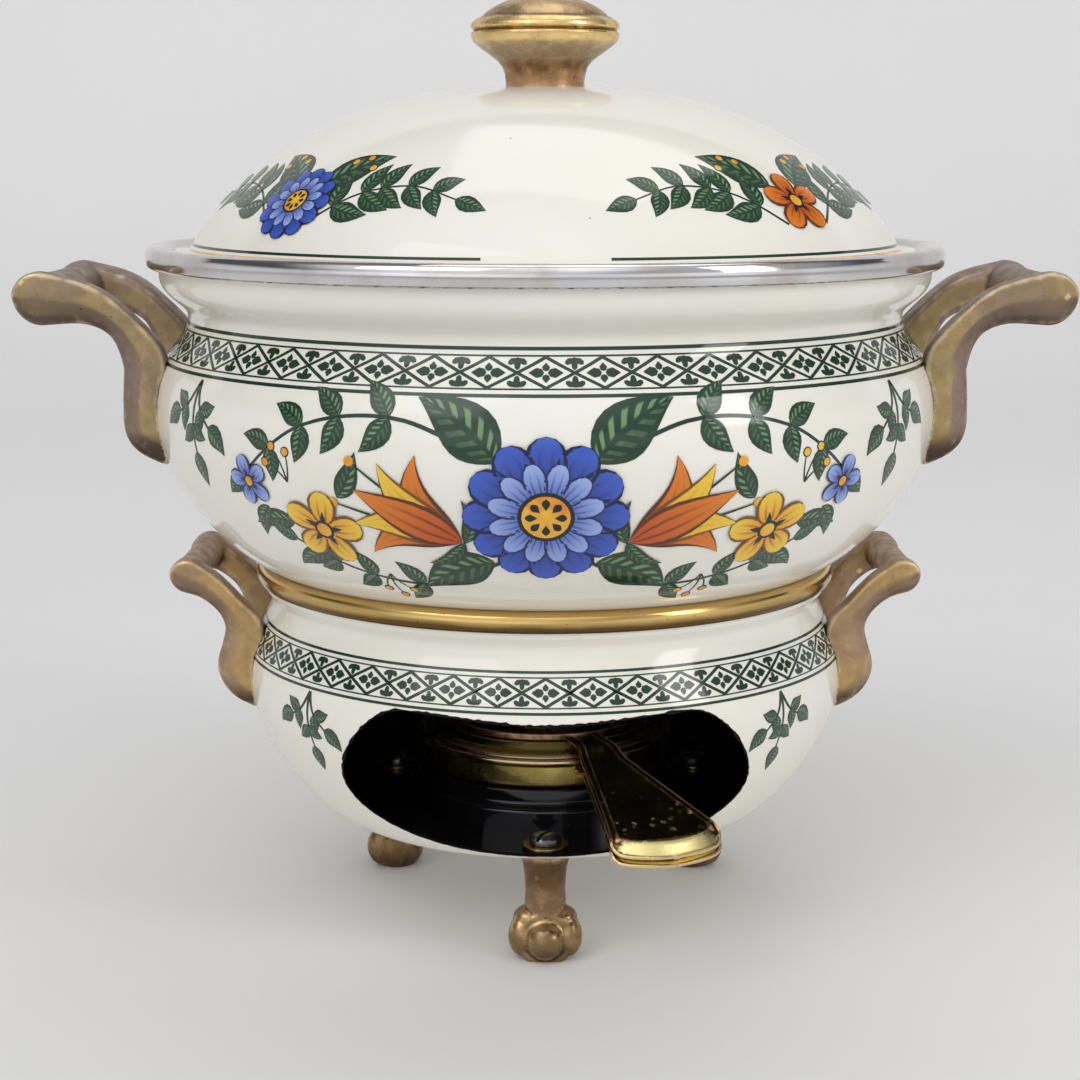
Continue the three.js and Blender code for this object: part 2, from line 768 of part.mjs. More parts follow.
function lidShell() {
  const dome = [
    ...bend(
      [skirtRadius, domeBase],
      [skirtRadius - lidShoulder, domeBase + lidRise * 0.4],
      [knobStemRadius + lidCrownReach, domeBase + lidRise],
      [knobStemRadius + enamelSheet, domeBase + lidRise],
      6,
    ),
    [screwHole, domeBase + lidRise],
  ];
  const skirtInner = skirtRadius - enamelSheet;
  const lining = offset(dome, enamelSheet).reverse();
  return revolve([
    [skirtInner, -lidSkirt],
    [skirtRadius, -lidSkirt],
    [skirtRadius, 0],
    [flangeRadius, 0],
    [flangeRadius, enamelSheet],
    ...dome,
    ...lining.slice(0, -1),
    [skirtInner, domeBase],
    [skirtInner, -lidSkirt],
  ], vesselSteps);
}

// Turned knob: a waisted stem that flares to a rounded rim under a stepped cap
function lidKnob() {
  return revolve([
    [0, screwGrip + clearance],
    [screwHole, screwGrip + clearance],
    [screwHole, 0],
    [knobStemRadius, 0],
    [knobStemRadius, knobHeight * 0.12],
    [knobStemRadius * 1.07, knobHeight * 0.22],
    [knobRadius * 0.87, knobHeight * 0.43],
    [knobRadius * 0.97, knobHeight * 0.51],
    [knobRadius, knobHeight * 0.61],
    [knobRadius * 0.94, knobHeight * 0.7],
    [knobRadius * 0.83, knobHeight * 0.76],
    [knobRadius * 0.53, knobHeight * 0.91],
    [knobRadius * 0.28, knobHeight * 0.98],
    [0, knobHeight],
  ], turnedSteps);
}

function lidGroup() {
  const group = new THREE.Group();
  group.position.z = lidSeat;
  const top = domeBase + lidRise;
  const knob = piece('lid_knob', lidKnob(), agedBrass);
  knob.position.z = top;
  const plate = piece('lid_knob_washer', washer(washerRadius), screwSteel);
  plate.position.z = top - enamelSheet - washerThickness;
  const grip = screwGrip + enamelSheet + washerThickness;
  const fastener = piece('lid_knob_screw', screw(grip), screwSteel);
  fastener.position.z = top - enamelSheet - washerThickness;
  fastener.rotation.x = Math.PI;
  group.add(piece('lid_shell', lidShell(), creamEnamel), knob, plate, fastener);
  return group;
}

const chafingDish = new THREE.Group();
chafingDish.add(standGroup(), burnerGroup(), potGroup(), lidGroup());

export default chafingDish;
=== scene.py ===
"""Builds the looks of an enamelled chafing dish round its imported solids."""
import math

import bmesh
import bpy
from mathutils import Matrix, Vector, kdtree, noise
from mathutils.geometry import interpolate_bezier


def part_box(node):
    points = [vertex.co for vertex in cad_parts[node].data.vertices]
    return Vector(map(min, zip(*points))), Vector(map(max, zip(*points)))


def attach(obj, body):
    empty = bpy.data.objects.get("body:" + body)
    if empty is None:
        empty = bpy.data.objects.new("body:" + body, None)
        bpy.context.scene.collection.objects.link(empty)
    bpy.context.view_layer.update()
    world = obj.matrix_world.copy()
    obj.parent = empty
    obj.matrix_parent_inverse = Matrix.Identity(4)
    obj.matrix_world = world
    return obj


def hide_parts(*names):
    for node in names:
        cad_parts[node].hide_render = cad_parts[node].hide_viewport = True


bl_info = {
    "name": "Chafing dish",
    "version": (1, 0, 0),
    "blender": (4, 5, 0),
    "location": "View3D > Sidebar > Chafing dish",
    "description": "Builds an enamelled chafing dish with its burner round the packed solids",
    "category": "Object",
}

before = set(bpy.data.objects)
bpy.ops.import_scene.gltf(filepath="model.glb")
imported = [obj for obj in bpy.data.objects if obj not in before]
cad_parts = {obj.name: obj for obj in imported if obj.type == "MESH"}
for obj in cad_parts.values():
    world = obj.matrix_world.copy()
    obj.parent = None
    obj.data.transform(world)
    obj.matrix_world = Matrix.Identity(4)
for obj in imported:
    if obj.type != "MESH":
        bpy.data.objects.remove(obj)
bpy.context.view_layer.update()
MM = 0.001


def height_of(node, corner):
    """Height of a solid's lowest (0) or highest (1) corner, in millimetres."""
    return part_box(node)[corner].z / MM


# Heights that the solids give, in millimetres
STAND_FLOOR = height_of("stand_bowl", 0)
BURNER_FLOOR = height_of("burner_seat", 0)
POT_BASE = height_of("pot_bowl", 0)
LID_SKIRT = 7.2
LID_SEAT = height_of("lid_shell", 0) + LID_SKIRT
KNOB_BASE = height_of("lid_knob", 0)
KNOB_HEIGHT = 28.4
STAND_RIM = STAND_FLOOR + 78
POT_RIM = POT_BASE + 102.5
# LIP_LOW and LIP_HIGH bound the burner pan's rolled lip, which carries a painted highlight
LIP_LOW = BURNER_FLOOR + 19.7
LIP_HIGH = 57

# Sheet, fits and places that the solids share, in millimetres
ENAMEL_SHEET = 1.2
BRASS_SHEET = 0.9
HANDLE_SHEET = 0.6
FOOT_CIRCLE = 58.5
FOOT_BEARINGS = {"front": -90, "back_right": 30, "back_left": 150}
SIDES = {"left": -1, "right": 1}
ENDS = {"front": -1, "back": 1}
STAND_BELLY = (95.6, STAND_FLOOR + 45)
POT_BELLY = (122.6, POT_BASE + 55)
# Width over both arms of a vessel's loop handle, and the depth of one arm
LOOPS = {"stand": (54, 10), "pot": (72, 12)}

# The stand's opening, and how far to the right of its middle the burner's handles point
OPENING_WIDTH = 120
OPENING_FRONT = -110
OPENING_BACK = -38
HANDLE_SHARE = 0.285
HANDLE_BEARING = math.asin(OPENING_WIDTH * HANDLE_SHARE / STAND_BELLY[0])

# Distances from the burner's axis over which the rolled ends of its handles are painted bright, a painted
# highlight
ROLL_START = 99.8
ROLL_END = 101.2


def tone(red, green, blue):
    """A scene colour from the 0 to 255 values of a colour picker."""
    shares = (value / 255 for value in (red, green, blue))
    return tuple(s / 12.92 if s <= 0.04045 else ((s + 0.055) / 1.055) ** 2.4 for s in shares)


def length_prop(name, description, millimetres):
    """A length that the user can change."""
    return bpy.props.FloatProperty(
        name=name, description=description, default=millimetres * MM, min=0, unit="LENGTH", precision=5
    )


def colour_prop(name, description, red, green, blue):
    """A colour that the user can change."""
    return bpy.props.FloatVectorProperty(
        name=name, description=description, default=tone(red, green, blue), subtype="COLOR", min=0, max=1
    )


class DishSizes(bpy.types.PropertyGroup):
    """Sizes of the dish's fine shapes and prints."""

    turned_steps: bpy.props.IntProperty(
        name="Turned steps", description="Faces round a turned piece", default=192, min=24, max=360
    )
    handle_grain: length_prop("Handle grain", "Voxel that joins a cast handle's arms and grip", 0.55)
    foot_grain: length_prop("Foot grain", "Voxel that joins a cast foot's stem, ball and claws", 0.42)
    print_lift: length_prop("Print lift", "Height of the print's ink over the enamel", 0.09)
    print_depth: length_prop("Print depth", "Thickness of a print, which reaches into the enamel", 0.14)
    rosette: length_prop("Rosette", "Radius of the pot's middle flower", 20.5)
    tulip: length_prop("Tulip", "Length of a tulip's flower", 28)
    star_flower: length_prop("Star flower", "Radius of a small flower", 11.5)
    leaf: length_prop("Leaf", "Length of a garland leaf", 17)
    pot_lozenge: length_prop("Pot lozenge", "Width of a lozenge in the pot's border", 15.4)
    stand_lozenge: length_prop("Stand lozenge", "Width of a lozenge in the stand's border", 13.4)


class DishColours(bpy.types.PropertyGroup):
    """Colours of the dish's finishes and prints."""

    cream: colour_prop("Cream", "Enamel outside", 241, 239, 229)
    black: colour_prop("Black", "Enamel inside the stand and on the burner's seat", 14, 14, 17)
    steel: colour_prop("Steel", "Ring on the pot's rim", 222, 221, 222)
    gold: colour_prop("Gold", "Ring on the stand's rim", 214, 182, 114)
    burner: colour_prop("Burner brass", "Pan, cover and regulator of the burner", 208, 188, 110)
    bronze: colour_prop("Bronze", "Lit patina of the cast handles, feet and knob", 174, 150, 106)
    # Mauve is patina in broad patches, and painted shade on the handles' faces that do not look along Y.
    mauve: colour_prop("Mauve", "Patina on the handles' bevels and undersides", 142, 121, 113)
    # Umber is patina in hollows, grains and pits, and also the painted shade on faces that look down.
    umber: colour_prop("Umber", "Dark patina of the cast handles, feet and knob", 70, 52, 38)
    screw: colour_prop("Screw steel", "Screws", 104, 103, 108)
    green: colour_prop("Green", "Lines and dark leaves of the print", 34, 62, 44)
    leaf: colour_prop("Leaf green", "Light strokes in the leaves of the print", 116, 150, 104)
    orange: colour_prop("Orange", "Tulips of the print", 222, 126, 36)
    yellow: colour_prop("Yellow", "Small flowers of the print", 240, 200, 64)
    blue: colour_prop("Blue", "Rosettes of the print", 62, 92, 190)


def sizes():
    """The scene's sizes."""
    return bpy.context.scene.dish_sizes


def colours():
    """The scene's colours."""
    return bpy.context.scene.dish_colours


# Lines, in millimetres of radius and height


def bend(start, leave, arrive, end, steps):
    """Points of a cubic curve."""
    corners = [Vector((*corner, 0)) for corner in (start, leave, arrive, end)]
    return [(point.x, point.y) for point in interpolate_bezier(*corners, steps + 1)]


def raised(line, height):
    """A line moved up."""
    return [(radius, rise + height) for radius, rise in line]


def flowing(points, steps):
    """A smooth curve through points, with some steps between each two."""
    points = [Vector(point) for point in points]
    last = len(points) - 1
    ways = [(points[min(i + 1, last)] - points[max(i - 1, 0)]) / 6 for i in range(last + 1)]
    path = []
    for i in range(last):
        corners = points[i], points[i] + ways[i], points[i + 1] - ways[i + 1], points[i + 1]
        path += interpolate_bezier(*corners, steps + 1)[:-1]
    return path + [points[last]]


def softened(outline, radius, closed=False):
    """An outline with its sharp corners rounded."""
    points = [Vector(point) for point in outline]
    count = len(points)
    result = []
    for i, point in enumerate(points):
        before = points[i - 1] - point
        after = points[(i + 1) % count] - point
        is_end = not closed and i in (0, count - 1)
        if is_end or before.angle(-after) < math.radians(25):
            result.append(point)
            continue
        reach = min(radius, before.length * 0.45, after.length * 0.45)
        start = point + before.normalized() * reach
        end = point + after.normalized() * reach
        for share in (0, 0.25, 0.5, 0.75, 1):
            result.append(start.lerp(point, share).lerp(point.lerp(end, share), share))
    return [(point.x, point.y) for point in result]


def evenly_spaced(outline, gap):
    """A closed outline with points about a gap apart."""
    points = []
    for start, end in zip(outline, outline[1:] + outline[:1]):
        start, end = Vector(start), Vector(end)
        count = max(round((end - start).length / gap), 1)
        points += [tuple(start.lerp(end, i / count)) for i in range(count)]
    return points


def inset_line(line, distance):
    """A line moved to its left."""
    moved = []
    last = len(line) - 1
    for i, (radius, height) in enumerate(line):
        before = line[max(i - 1, 0)]
        after = line[min(i + 1, last)]
        way = Vector((after[0] - before[0], after[1] - before[1])).normalized()
        moved.append((max(radius - way.y * distance, 0), height + way.x * distance))
    return moved


def lined(line, thickness):
    """Section of a sheet whose outer face follows a line."""
    return line + inset_line(line, thickness)[::-1]


def stand_line():
    """Outer line of the stand's bowl, from the middle of its floor to its rim."""
    heel = bend((66, 0), (74, 0), (95.6, 25.65), (95.6, 45), 24)
    shoulder = bend((95.6, 45), (95.6, 56.52), (87.6, 63.72), (87.6, 69), 16)
    lip = bend((87.6, 69), (87.6, 71.2), (90.2, 71.6), (90.2, 74.4), 8)
    return raised([(0, 0), (40, 0), *heel, *shoulder[1:], *lip[1:], (90.2, 78)], STAND_FLOOR)


def pot_line():
    """Outer line of the pot, from the middle of its bottom to its rim."""
    heel = bend((64, 0), (99, 0), (122.6, 34.65), (122.6, 55), 32)
    shoulder = bend((122.6, 55), (122.6, 74.47), (111.5, 75.36), (111.5, 84.5), 20)
    flare = bend((111.5, 84.5), (111.5, 88.4), (120.2, 89.8), (120.2, 97.6), 14)
    return raised([(0, 0), (40, 0), *heel, *shoulder[1:], *flare[1:], (120.2, 102.5)], POT_BASE)


def lid_line():
    """Outer line of the lid, from its flange to the middle of its crown."""
    dome = bend((110.1, 1.2), (101.9, 20.8), (66.8, 50.2), (13.6, 50.2), 40)
    return raised([(115.1, 1.2), (112.2, 1.2), (110.7, 1.5), *dome[1:], (6, 50.2), (0, 50.2)], LID_SEAT)


class Wall:
    """A vessel's outer line, on which prints are laid by bearing and length along the line."""

    def __init__(self, line):
        self.points = [Vector(point) for point in line]
        self.lengths = [0.0]
        for before, after in zip(self.points, self.points[1:]):
            self.lengths.append(self.lengths[-1] + (after - before).length)
        ways = [
            (self.points[min(i + 1, len(line) - 1)] - self.points[max(i - 1, 0)]).normalized()
            for i in range(len(line))
        ]
        self.normals = [Vector((way.y, -way.x)) for way in ways]

    def at(self, length):
        """Point and normal of the line, as radius and height, at a length along it."""
        i = 1
        while i < len(self.lengths) - 1 and self.lengths[i] < length:
            i += 1
        share = (length - self.lengths[i - 1]) / (self.lengths[i] - self.lengths[i - 1])
        point = self.points[i - 1].lerp(self.points[i], share)
        return point, self.normals[i - 1].lerp(self.normals[i], share).normalized()

    def length_at(self, height):
        """Length along the line at a height."""
        for i in range(1, len(self.points)):
            low, high = self.points[i - 1].y, self.points[i].y
            if low < height <= high:
                share = (height - low) / (high - low)
                return self.lengths[i - 1] + share * (self.lengths[i] - self.lengths[i - 1])
        raise ValueError(f"no wall at height {height}")

    def radius_at(self, height):
        """Radius of the line at a height."""
        return self.at(self.length_at(height))[0].x

    def place(self, bearing, length, lift):
        """Point and normal in metres; bearing 0 is the front, and lift the distance from the wall."""
        point, normal = self.at(length)
        point = point + normal * lift
        across = Vector((math.sin(bearing), -math.cos(bearing), 0))
        up = Vector((0, 0, 1))
        return (across * point.x + up * point.y) * MM, across * normal.x + up * normal.y


# Meshes


def spun(outline, closed=False, steps=0):
    """A mesh of an outline turned round the upright axis."""
    bm = bmesh.new()
    points = [bm.verts.new((radius * MM, 0, height * MM)) for radius, height in outline]
    pairs = zip(points, points[1:] + points[:1] if closed else points[1:])
    edges = [bm.edges.new(pair) for pair in pairs]
    bmesh.ops.spin(
        bm, geom=points + edges, cent=(0, 0, 0), axis=(0, 0, 1), angle=math.tau,
        steps=steps or sizes().turned_steps, use_merge=True,
    )
    bmesh.ops.remove_doubles(bm, verts=bm.verts[:], dist=1e-6)
    bmesh.ops.recalc_face_normals(bm, faces=bm.faces[:])
    return bm


def turn_to(bm, matrix):
    """Moves a whole mesh."""
    bmesh.ops.transform(bm, matrix=matrix, verts=bm.verts[:])
    return bm


def joined(*parts):
    """One mesh of several, which are used up."""
    whole = parts[0]
    for part in parts[1:]:
        mesh = bpy.data.meshes.new("part")
        part.to_mesh(mesh)
        part.free()
        whole.from_mesh(mesh)
        bpy.data.meshes.remove(mesh)
    return whole


def scratch(bm):
    """A helper object of a mesh, which is used up."""
    mesh = bpy.data.meshes.new("scratch")
    bm.to_mesh(mesh)
    bm.free()
    helper = bpy.data.objects.new("scratch", mesh)
    bpy.context.scene.collection.objects.link(helper)
    return helper


def worked(bm, *steps):
    """A mesh after modifiers, each a type and its settings. A mesh among the settings is a cutter."""
    blank = scratch(bm)
    helpers = [blank]
    for kind, settings in steps:
        modifier = blank.modifiers.new(kind.lower(), kind)
        for key, value in settings.items():
            if isinstance(value, bmesh.types.BMesh):
                value = scratch(value)
                helpers.append(value)
            setattr(modifier, key, value)
    result = bmesh.new()
    result.from_object(blank, bpy.context.evaluated_depsgraph_get())
    for helper in helpers:
        mesh = helper.data
        bpy.data.objects.remove(helper)
        bpy.data.meshes.remove(mesh)
    return result


def cut_with(cutter):
    """The step that takes a cutter from a mesh."""
    return "BOOLEAN", {"operation": "DIFFERENCE", "solver": "EXACT", "object": cutter}


def cast_with(grain, passes):
    """The steps that join closed shells into one casting and soften it."""
    return (
        ("REMESH", {"mode": "VOXEL", "voxel_size": grain}),
        ("SMOOTH", {"factor": 0.5, "iterations": passes}),
    )


def drawn_out(bm, way):
    """Draws all the faces of an open mesh out along a way, into a closed body."""
    made = bmesh.ops.extrude_face_region(bm, geom=bm.faces[:])["geom"]
    moved = [item for item in made if isinstance(item, bmesh.types.BMVert)]
    bmesh.ops.translate(bm, verts=moved, vec=way)
    bmesh.ops.recalc_face_normals(bm, faces=bm.faces[:])
    return bm


def prism(outline, way):
    """A mesh of a flat closed outline of points in millimetres, drawn along a way."""
    bm = bmesh.new()
    bm.faces.new([bm.verts.new([value * MM for value in point]) for point in outline])
    return drawn_out(bm, [value * MM for value in way])


def finished(name, bm, body, slot, finishes, *nodes, crease=32):
    """The finished piece of a mesh: smooth, with its materials, on its body and in place of its nodes."""
    mesh = bpy.data.meshes.new(name)
    bm.to_mesh(mesh)
    bm.free()
    for finish in finishes:
        mesh.materials.append(finish)
    mesh.shade_smooth()
    mesh.set_sharp_from_angle(angle=math.radians(crease))
    piece = bpy.data.objects.new(name, mesh)
    bpy.context.scene.collection.objects.link(piece)
    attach(piece, body)
    if nodes:
        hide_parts(*nodes)
    return piece


def dressed(node, work, bm, body, slot, *finishes, crease=32):
    """The piece that stands for one solid, named for the solid and how the piece is worked."""
    return finished(f"{node}_{work}", bm, body, slot, finishes, node, crease=crease)


# Shader nodes


class NodeDesk:
    """Adds, sets and links the nodes of one tree."""

    def __init__(self, tree):
        self.tree = tree
        tree.nodes.clear()

    def feed(self, socket, value):
        """Links a socket to another, or sets its value."""
        if isinstance(value, bpy.types.NodeSocket):
            self.tree.links.new(value, socket)
        elif socket.type == "RGBA":
            socket.default_value = (*value[:3], 1)
        else:
            socket.default_value = value

    def add(self, kind, inputs=None, **settings):
        """A node with its settings and inputs."""
        node = self.tree.nodes.new(kind)
        for key, value in settings.items():
            setattr(node, key, value)
        for key, value in (inputs or {}).items():
            self.feed(node.inputs[key], value)
        return node

    def sums(self, operation, *values):
        """A sum of one or two values."""
        node = self.add("ShaderNodeMath", operation=operation)
        for socket, value in zip(node.inputs, values):
            self.feed(socket, value)
        return node.outputs[0]

    def times(self, first, second):
        """A product of two values."""
        return self.sums("MULTIPLY", first, second)

    def ease(self, value, low, high, start=0.0, end=1.0):
        """A value eased from one range to another."""
        inputs = {"Value": value, "From Min": low, "From Max": high, "To Min": start, "To Max": end}
        return self.add("ShaderNodeMapRange", inputs, interpolation_type="SMOOTHSTEP").outputs[0]

    def blend(self, share, first, second):
        """A mix of two colours."""
        return self.add("ShaderNodeMix", {0: share, 6: first, 7: second}, data_type="RGBA").outputs[2]

    def place(self):
        """Coordinates on the object."""
        return self.add("ShaderNodeTexCoord").outputs["Object"]

    def parts(self, vector):
        """The three parts of a vector."""
        return self.add("ShaderNodeSeparateXYZ", {0: vector}).outputs

    def from_axis(self, x, y):
        """Distance from the upright axis."""
        return self.sums("SQRT", self.sums("ADD", self.times(x, x), self.times(y, y)))

    def ramp(self, value, stops):
        """A colour that changes along a value."""
        node = self.add("ShaderNodeValToRGB", {0: value})
        places = node.color_ramp.elements
        places.remove(places[1])
        for i, (position, colour) in enumerate(stops):
            stop = places.new(position) if i else places[0]
            stop.position = position
            stop.color = (*colour, 1)
        return node.outputs[0]

    def off_middle(self, share):
        """How far a share from 0 to 1 is from its middle, from 0 to 1."""
        return self.sums("ABSOLUTE", self.sums("SUBTRACT", self.times(share, 2.0), 1.0))

    def noise(self, vector, scale, detail=3.0, twist=0.0):
        """Soft noise."""
        inputs = {"Vector": vector, "Scale": scale, "Detail": detail, "Distortion": twist}
        return self.add("ShaderNodeTexNoise", inputs).outputs[0]

    def use(self, group, **inputs):
        """The outputs of an effect with its own values."""
        node = self.add("ShaderNodeGroup", node_tree=group)
        for key, value in inputs.items():
            self.feed(node.inputs[key.replace("_", " ")], value)
        return node.outputs

    def bump(self, height, strength, distance):
        """A normal from a height."""
        inputs = {"Height": height, "Strength": strength, "Distance": distance * MM}
        return self.add("ShaderNodeBump", inputs).outputs[0]


MASK = "NodeSocketFloat"
COLOUR = "NodeSocketColor"
GREY = (0.5, 0.5, 0.5)


def effect(name, inputs, outputs, draw):
    """A node group, made once. draw gives the values of its outputs."""
    group = bpy.data.node_groups.get(name)
    if group:
        return group
    group = bpy.data.node_groups.new(name, "ShaderNodeTree")
    for label, value in inputs.items():
        kind = COLOUR if isinstance(value, tuple) else MASK
        socket = group.interface.new_socket(label, in_out="INPUT", socket_type=kind)
        socket.default_value = (*value, 1) if isinstance(value, tuple) else value
    for label, kind in outputs.items():
        group.interface.new_socket(label, in_out="OUTPUT", socket_type=kind)
    desk = NodeDesk(group)
    entry = desk.add("NodeGroupInput").outputs
    leave = desk.add("NodeGroupOutput").inputs
    for label, value in zip(outputs, draw(desk, entry)):
        desk.feed(leave[label], value)
    return group


def orange_peel():
    """Ripples and slow swells of fired enamel."""

    def draw(desk, entry):
        place = desk.place()
        ripple = desk.noise(place, entry["Ripple"], 1.0)
        swell = desk.noise(place, entry["Swell"], 0.0)
        yield desk.sums("ADD", desk.times(ripple, 0.12), swell)

    return effect("Orange peel", {"Ripple": 420.0, "Swell": 46.0}, {"Height": MASK}, draw)


def specks():
    """Small round spots, in some of the cells of a pattern."""

    def draw(desk, entry):
        cells = desk.add("ShaderNodeTexVoronoi", {"Vector": desk.place(), "Scale": entry["Scale"]}).outputs
        spot = desk.ease(cells["Distance"], entry["Size"], desk.times(entry["Size"], 0.45))
        pick = desk.add("ShaderNodeSeparateColor", {"Color": cells["Color"]}).outputs[0]
        yield desk.times(spot, desk.sums("LESS_THAN", pick, entry["Share"]))

    return effect("Specks", {"Scale": 150.0, "Size": 0.1, "Share": 0.2}, {"Mask": MASK}, draw)


def patina():
    """Cloudy patches."""

    def draw(desk, entry):
        cloud = desk.noise(desk.place(), entry["Scale"], 6.0, 0.4)
        low = desk.sums("SUBTRACT", entry["Level"], entry["Softness"])
        yield desk.ease(cloud, low, desk.sums("ADD", entry["Level"], entry["Softness"]))

    inputs = {"Scale": 60.0, "Level": 0.5, "Softness": 0.15}
    return effect("Patina", inputs, {"Mask": MASK}, draw)


def edge_wear():
    """Worn edges and filled hollows."""

    def draw(desk, entry):
        sharp = desk.add("ShaderNodeNewGeometry").outputs["Pointiness"]
        rough = desk.times(desk.sums("SUBTRACT", desk.noise(desk.place(), 260.0, 4.0), 0.5), 0.05)
        uneven = desk.sums("ADD", sharp, rough)
        edge, groove = 0.505, 0.495
        yield desk.ease(uneven, edge, desk.sums("ADD", edge, entry["Reach"]))
        yield desk.ease(uneven, groove, desk.sums("SUBTRACT", groove, entry["Reach"]))

    return effect("Edge wear", {"Reach": 0.04}, {"Worn": MASK, "Hollow": MASK}, draw)


def turned_lines():
    """Fine lines round the upright axis, as a lathe or a polishing wheel leaves them."""

    def draw(desk, entry):
        x, y, z = desk.parts(desk.place())
        line = desk.add("ShaderNodeCombineXYZ", {0: desk.from_axis(x, y), 2: z}).outputs[0]
        yield desk.noise(line, entry["Lines"], 2.0)

    return effect("Turned lines", {"Lines": 1500.0}, {"Height": MASK}, draw)


def petal_ink():
    """Ink of a petal: shaded from root to tip, streaked along and outlined."""

    def draw(desk, entry):
        stroke = desk.add("ShaderNodeUVMap", uv_map="stroke").outputs[0]
        along, across, _ = desk.parts(stroke)
        side = desk.off_middle(across)
        body = desk.blend(desk.ease(along, 0.1, 0.85), entry["Root"], entry["Tip"])
        wobble = desk.noise(desk.place(), 300.0, 2.0)
        wave = desk.sums("SINE", desk.sums("ADD", desk.times(across, 21.0), wobble))
        streak = desk.times(desk.ease(wave, 0.35, 0.9), desk.ease(along, 0.8, 0.25))
        body = desk.blend(desk.times(streak, 0.8), body, entry["Outline"])
        border = desk.sums("MAXIMUM", desk.ease(side, 0.74, 0.86), desk.ease(along, 0.93, 0.97))
        yield desk.blend(border, body, entry["Outline"])

    return effect("Petal ink", {"Root": GREY, "Tip": GREY, "Outline": GREY}, {"Colour": COLOUR}, draw)


def leaf_ink():
    """Ink of a leaf: a dark outline and rib, and hatched light strokes between."""

    def draw(desk, entry):
        stroke = desk.add("ShaderNodeUVMap", uv_map="stroke").outputs[0]
        along, across, _ = desk.parts(stroke)
        side = desk.off_middle(across)
        slant = desk.sums("SUBTRACT", desk.times(along, 62.0), desk.times(side, 9.0))
        hatch = desk.ease(desk.sums("SINE", slant), -0.2, 0.6)
        inside = desk.times(desk.ease(side, 0.72, 0.55), desk.ease(side, 0.06, 0.2))
        lit = desk.times(inside, desk.ease(across, 0.3, 0.62, 0.25, 0.95))
        share = desk.times(lit, desk.times(hatch, desk.ease(along, 0.02, 0.2)))
        yield desk.blend(share, entry["Dark"], entry["Light"])

    return effect("Leaf ink", {"Dark": GREY, "Light": GREY}, {"Colour": COLOUR}, draw)


# Finishes

FINISHES = {}


def clouds(desk, scale, level, softness):
    """Mask of cloudy patches."""
    return desk.use(patina(), Scale=scale, Level=level, Softness=softness)["Mask"]


def speckle(desk, scale, size, share):
    """Mask of small round spots."""
    return desk.use(specks(), Scale=scale, Size=size, Share=share)["Mask"]


def wheel_marks(desk, lines, strength, depth):
    """A normal with fine lines round the axis."""
    return desk.bump(desk.use(turned_lines(), Lines=lines)["Height"], strength, depth)


def shaded(name, draw):
    """A material, made once. draw sets the sockets of its shader."""
    if name not in FINISHES:
        material = bpy.data.materials.new(name)
        material.use_nodes = True
        desk = NodeDesk(material.node_tree)
        skin = desk.add("ShaderNodeBsdfPrincipled")
        for key, value in draw(desk).items():
            desk.feed(skin.inputs[key], value)
        desk.add("ShaderNodeOutputMaterial", {"Surface": skin.outputs[0]})
        FINISHES[name] = material
    return FINISHES[name]


def darker(colour, share):
    """A colour made darker."""
    return tuple(value * share for value in colour)


def glaze(desk, strength=0.14):
    """Sockets that all the fired enamel and its prints share."""
    height = desk.use(orange_peel())["Height"]
    smear = clouds(desk, scale=24.0, level=0.52, softness=0.2)
    return {
        "Roughness": desk.ease(smear, 0.0, 1.0, 0.07, 0.15),
        "IOR": 1.52,
        "Normal": desk.bump(height, strength, 0.4),
    }


def cream_enamel():
    """Cream enamel with slow shifts of tone and a few fired-in specks."""

    def draw(desk):
        cream = colours().cream
        cloud = clouds(desk, scale=14.0, level=0.5, softness=0.3)
        warm = (cream[0] * 0.985, cream[1] * 0.965, cream[2] * 0.92)
        body = desk.blend(cloud, cream, warm)
        dot = speckle(desk, scale=95.0, size=0.035, share=0.12)
        return {"Base Color": desk.blend(dot, body, tone(112, 92, 66)), **glaze(desk)}

    return shaded("enamel_cream", draw)


def black_enamel():
    """Black enamel with a little dust."""

    def draw(desk):
        black = colours().black
        dust = speckle(desk, scale=420.0, size=0.1, share=0.1)
        haze = clouds(desk, scale=40.0, level=0.55, softness=0.25)
        body = desk.blend(haze, black, tone(24, 24, 28))
        return {"Base Color": desk.blend(dust, body, tone(92, 90, 86)), **glaze(desk, 0.25)}

    return shaded("enamel_black", draw)


def polished_steel():
    """Bright steel with polishing lines and finger smears, whose warm tint is a painted reflection."""

    def draw(desk):
        steel = colours().steel
        smear = clouds(desk, scale=50.0, level=0.55, softness=0.2)
        worn = desk.use(edge_wear(), Reach=0.05)["Hollow"]
        # The warm tone in the smear patches is a painted warm reflection; the smears' change of roughness is
        # real.
        body = desk.blend(desk.times(smear, 0.6), steel, tone(178, 166, 152))
        return {
            "Base Color": desk.blend(worn, body, tone(66, 62, 60)),
            "Metallic": 1.0,
            "Roughness": desk.ease(smear, 0.0, 1.0, 0.06, 0.14),
            "Normal": wheel_marks(desk, lines=2600.0, strength=0.12, depth=0.1),
        }

    return shaded("steel_polished", draw)


